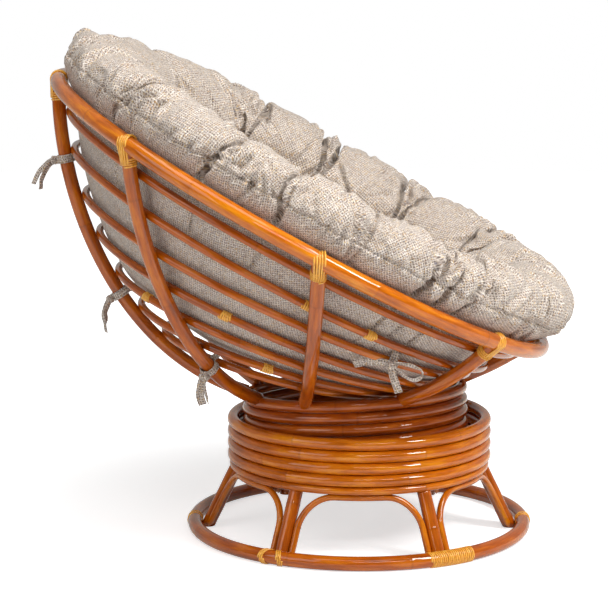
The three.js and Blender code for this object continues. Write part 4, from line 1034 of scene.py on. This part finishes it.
# Ties: strips of the cushion's tweed, folded to 16.5 mm and sewn, which hold it to ribs and a hoop.
tie = {
    "width": 0.0165, "thickness": 0.0018, "crease": 0.0032, "around": 0.0158, "apart": 0.0019,
    "knot": (0.012, 0.0095, 0.0095), "knotOut": 0.008, "knotBumps": 0.22, "knotWaist": 0.22,
}


def coverOf(piece, across, along):
    mesh = piece.data
    corners = readAll(mesh.loops, "vertex_index", 1, int)
    while mesh.uv_layers:
        mesh.uv_layers.remove(mesh.uv_layers[0])
    addCover(mesh, across[corners], along[corners])


def addRibbon(places, widthways, seed):
    route = smoothLine(places, 7)
    ways = smoothLine(np.broadcast_to(np.asarray(widthways, float), (len(places), 3)), 7)
    ways, ahead = unit(ways), unit(np.gradient(route, axis=0))
    ways = unit(ways - ahead * (ways * ahead).sum(axis=1)[:, None])
    face = np.cross(ahead, ways)
    bpy.ops.mesh.primitive_grid_add(x_subdivisions=len(route) - 1, y_subdivisions=6, size=2)
    strip = bpy.context.object
    spots = readAll(strip.data.vertices, "co", 3)
    step = np.clip(np.round((spots[:, 0] + 1) / 2 * (len(route) - 1)).astype(int), 0, len(route) - 1)
    across = spots[:, 1]
    length = lengthsOf(route)[step]
    crumple = np.array([noise.noise(Vector((a * 1.3, b * 60, seed))) for a, b in zip(across, length)])
    rise = tie["crease"] * ((1 - across ** 2) * np.sin(length * 55 + seed) + 0.9 * crumple)
    shape = route[step] + ways[step] * (across * tie["width"] / 2)[:, None] + face[step] * rise[:, None]
    strip.data.vertices.foreach_set("co", shape.ravel())
    coverOf(strip, across * tie["width"] / 2 + 0.13 * seed, length)
    applyModifier(strip, "SOLIDIFY", {"thickness": tie["thickness"], "offset": 0})
    applyModifier(strip, "SUBSURF", {"levels": 1, "render_levels": 1})
    bpy.ops.object.shade_smooth()
    return strip


def addKnot(centre, along, upwards, seed):
    bpy.ops.mesh.primitive_ico_sphere_add(subdivisions=4, radius=1)
    knot = bpy.context.object
    spots = readAll(knot.data.vertices, "co", 3)
    along, upwards, across = acrossOf(np.asarray(along, float), np.asarray(upwards, float))
    bumps = np.array([noise.noise(Vector((x * 1.6 + seed, y * 1.6, z * 2.4))) for x, y, z in spots])
    waist = 1 - tie["knotWaist"] * bell(spots[:, 0], 0.28)  # the crossing strip draws the knot in
    rough = 1 + tie["knotBumps"] * bumps
    shape = centre + sum((spots[:, k] * tie["knot"][k] * rough * (waist if k else 1))[:, None] * axis
                         for k, axis in enumerate((along, across, upwards)))
    knot.data.vertices.foreach_set("co", shape.ravel())
    coverOf(knot, np.arctan2(spots[:, 1], spots[:, 2]) * 0.009, spots[:, 0] * 0.012)
    bpy.ops.object.shade_smooth()
    return knot


def joinTie(name, node, pieces):
    bpy.ops.object.select_all(action="DESELECT")
    for piece in pieces:
        piece.select_set(True)
    bpy.context.view_layer.objects.active = pieces[0]
    bpy.ops.object.join()
    joined = bpy.context.object
    joined.name = joined.data.name = name
    return placePiece(joined, tweed, "tweed", "seat", node)


def ribTie(name, node, index, share, seed, *tails):
    route = ribRoutes[index][0]
    where = share * lengthsOf(route)[-1]
    centre, before, after = placesAt(route, [where, where - 0.01, where + 0.01])
    ahead, outward, across = acrossOf(after - before, centre - rimCentre)
    turns = np.linspace(-0.35, 2 * pi + 0.35, 15)
    swell = np.linspace(tie["around"], tie["around"] + tie["apart"], 15)
    loop = [centre + r * (cos(a) * outward + sin(a) * across) for a, r in zip(turns, swell)]
    pieces = [addRibbon(loop, ahead, seed)]
    inner = centre - outward * tie["around"]
    stub = [inner + across * 0.004, inner - outward * 0.012 + ahead * 0.004, inner - outward * 0.027 + ahead * 0.012]
    pieces.append(addRibbon(stub, ahead, seed + 1))
    knot = centre + outward * (tie["around"] + tie["knotOut"])
    pieces.append(addKnot(knot, across, outward, seed))
    for number, tail in enumerate(tails):
        steps = [knot]
        for out, drop, aside in tail:
            steps.append(knot + outward * out * 0.001 - up * drop * 0.001 + across * aside * 0.001)
        pieces.append(addRibbon(steps, ahead * 0.7 + across * (0.7 if number else -0.7), seed + 2 + number))
    joinTie(name, node, pieces)


# each tail: out from the rib, down and aside, in millimetres
ribTie("upperTie", "rib_tie_1", 4, 0.199, 1, ((12, 4, 8), (27, 14, 12), (38, 28, 14), (44, 42, 12)),
       ((10, 8, -6), (21, 22, -8), (28, 38, -6), (30, 52, -4)))
ribTie("middleTie", "rib_tie_2", 4, 0.568, 4, ((9, 6, 6), (16, 22, 10), (15, 44, 8), (12, 66, 10)),
       ((8, 8, -8), (14, 20, -13), (12, 32, -14), (9, 42, -12)))
ribTie("lowerTie", "rib_tie_3", 5, 0.735, 7, ((6, 10, 4), (8, 28, 6), (4, 44, 6), (-1, 58, 4)),
       ((5, 10, -5), (6, 26, -8), (2, 40, -9), (-1, 52, -7)))

bow = {"hoop": 2, "share": 0.819, "out": 0.0165, "down": 0.004}
towards, rightwards = -side, np.array([0.0, -1.0, 0.0])
hoopPoints = hoopRoutes[bow["hoop"]]
bowPlace = hoopPoints[int(bow["share"] * len(hoopPoints))] + towards * bow["out"] - up * bow["down"]


def bowRibbon(course, widthways, seed):
    return addRibbon([bowAt(*place) for place in course], widthways, seed)


def bowAt(right, high, near=0.0):  # millimetres to the right, up and towards the camera
    return bowPlace + rightwards * right * 0.001 + up * high * 0.001 + towards * near * 0.001


joinTie("bow", "hoop_bow", [
    bowRibbon([(0, 0), (-18, 6, 4), (-40, 7, 5), (-58, 4, 3), (-72, 1, 0)], up * 0.9 + towards * 0.45, 11),
    bowRibbon([(0, 1), (16, 4, 3), (38, 0, 6), (56, -9, 5), (58, -22, 3), (42, -28, 3), (20, -17, 2), (2, -3, 0)],
              towards * 0.85 + up * 0.5, 12),
    bowRibbon([(0, 0), (3, -16, 3), (8, -34, 3), (15, -54, 1)], rightwards * 0.95 + towards * 0.3, 13),
    bowRibbon([(0, 0), (5, 12, 1), (9, 24, -4), (8, 34, -14)], rightwards * 0.9 + towards * 0.2, 14),
    addKnot(bowAt(0, 0, 2), rightwards + up * 0.2, towards, 5),
])
print("ties are tied")
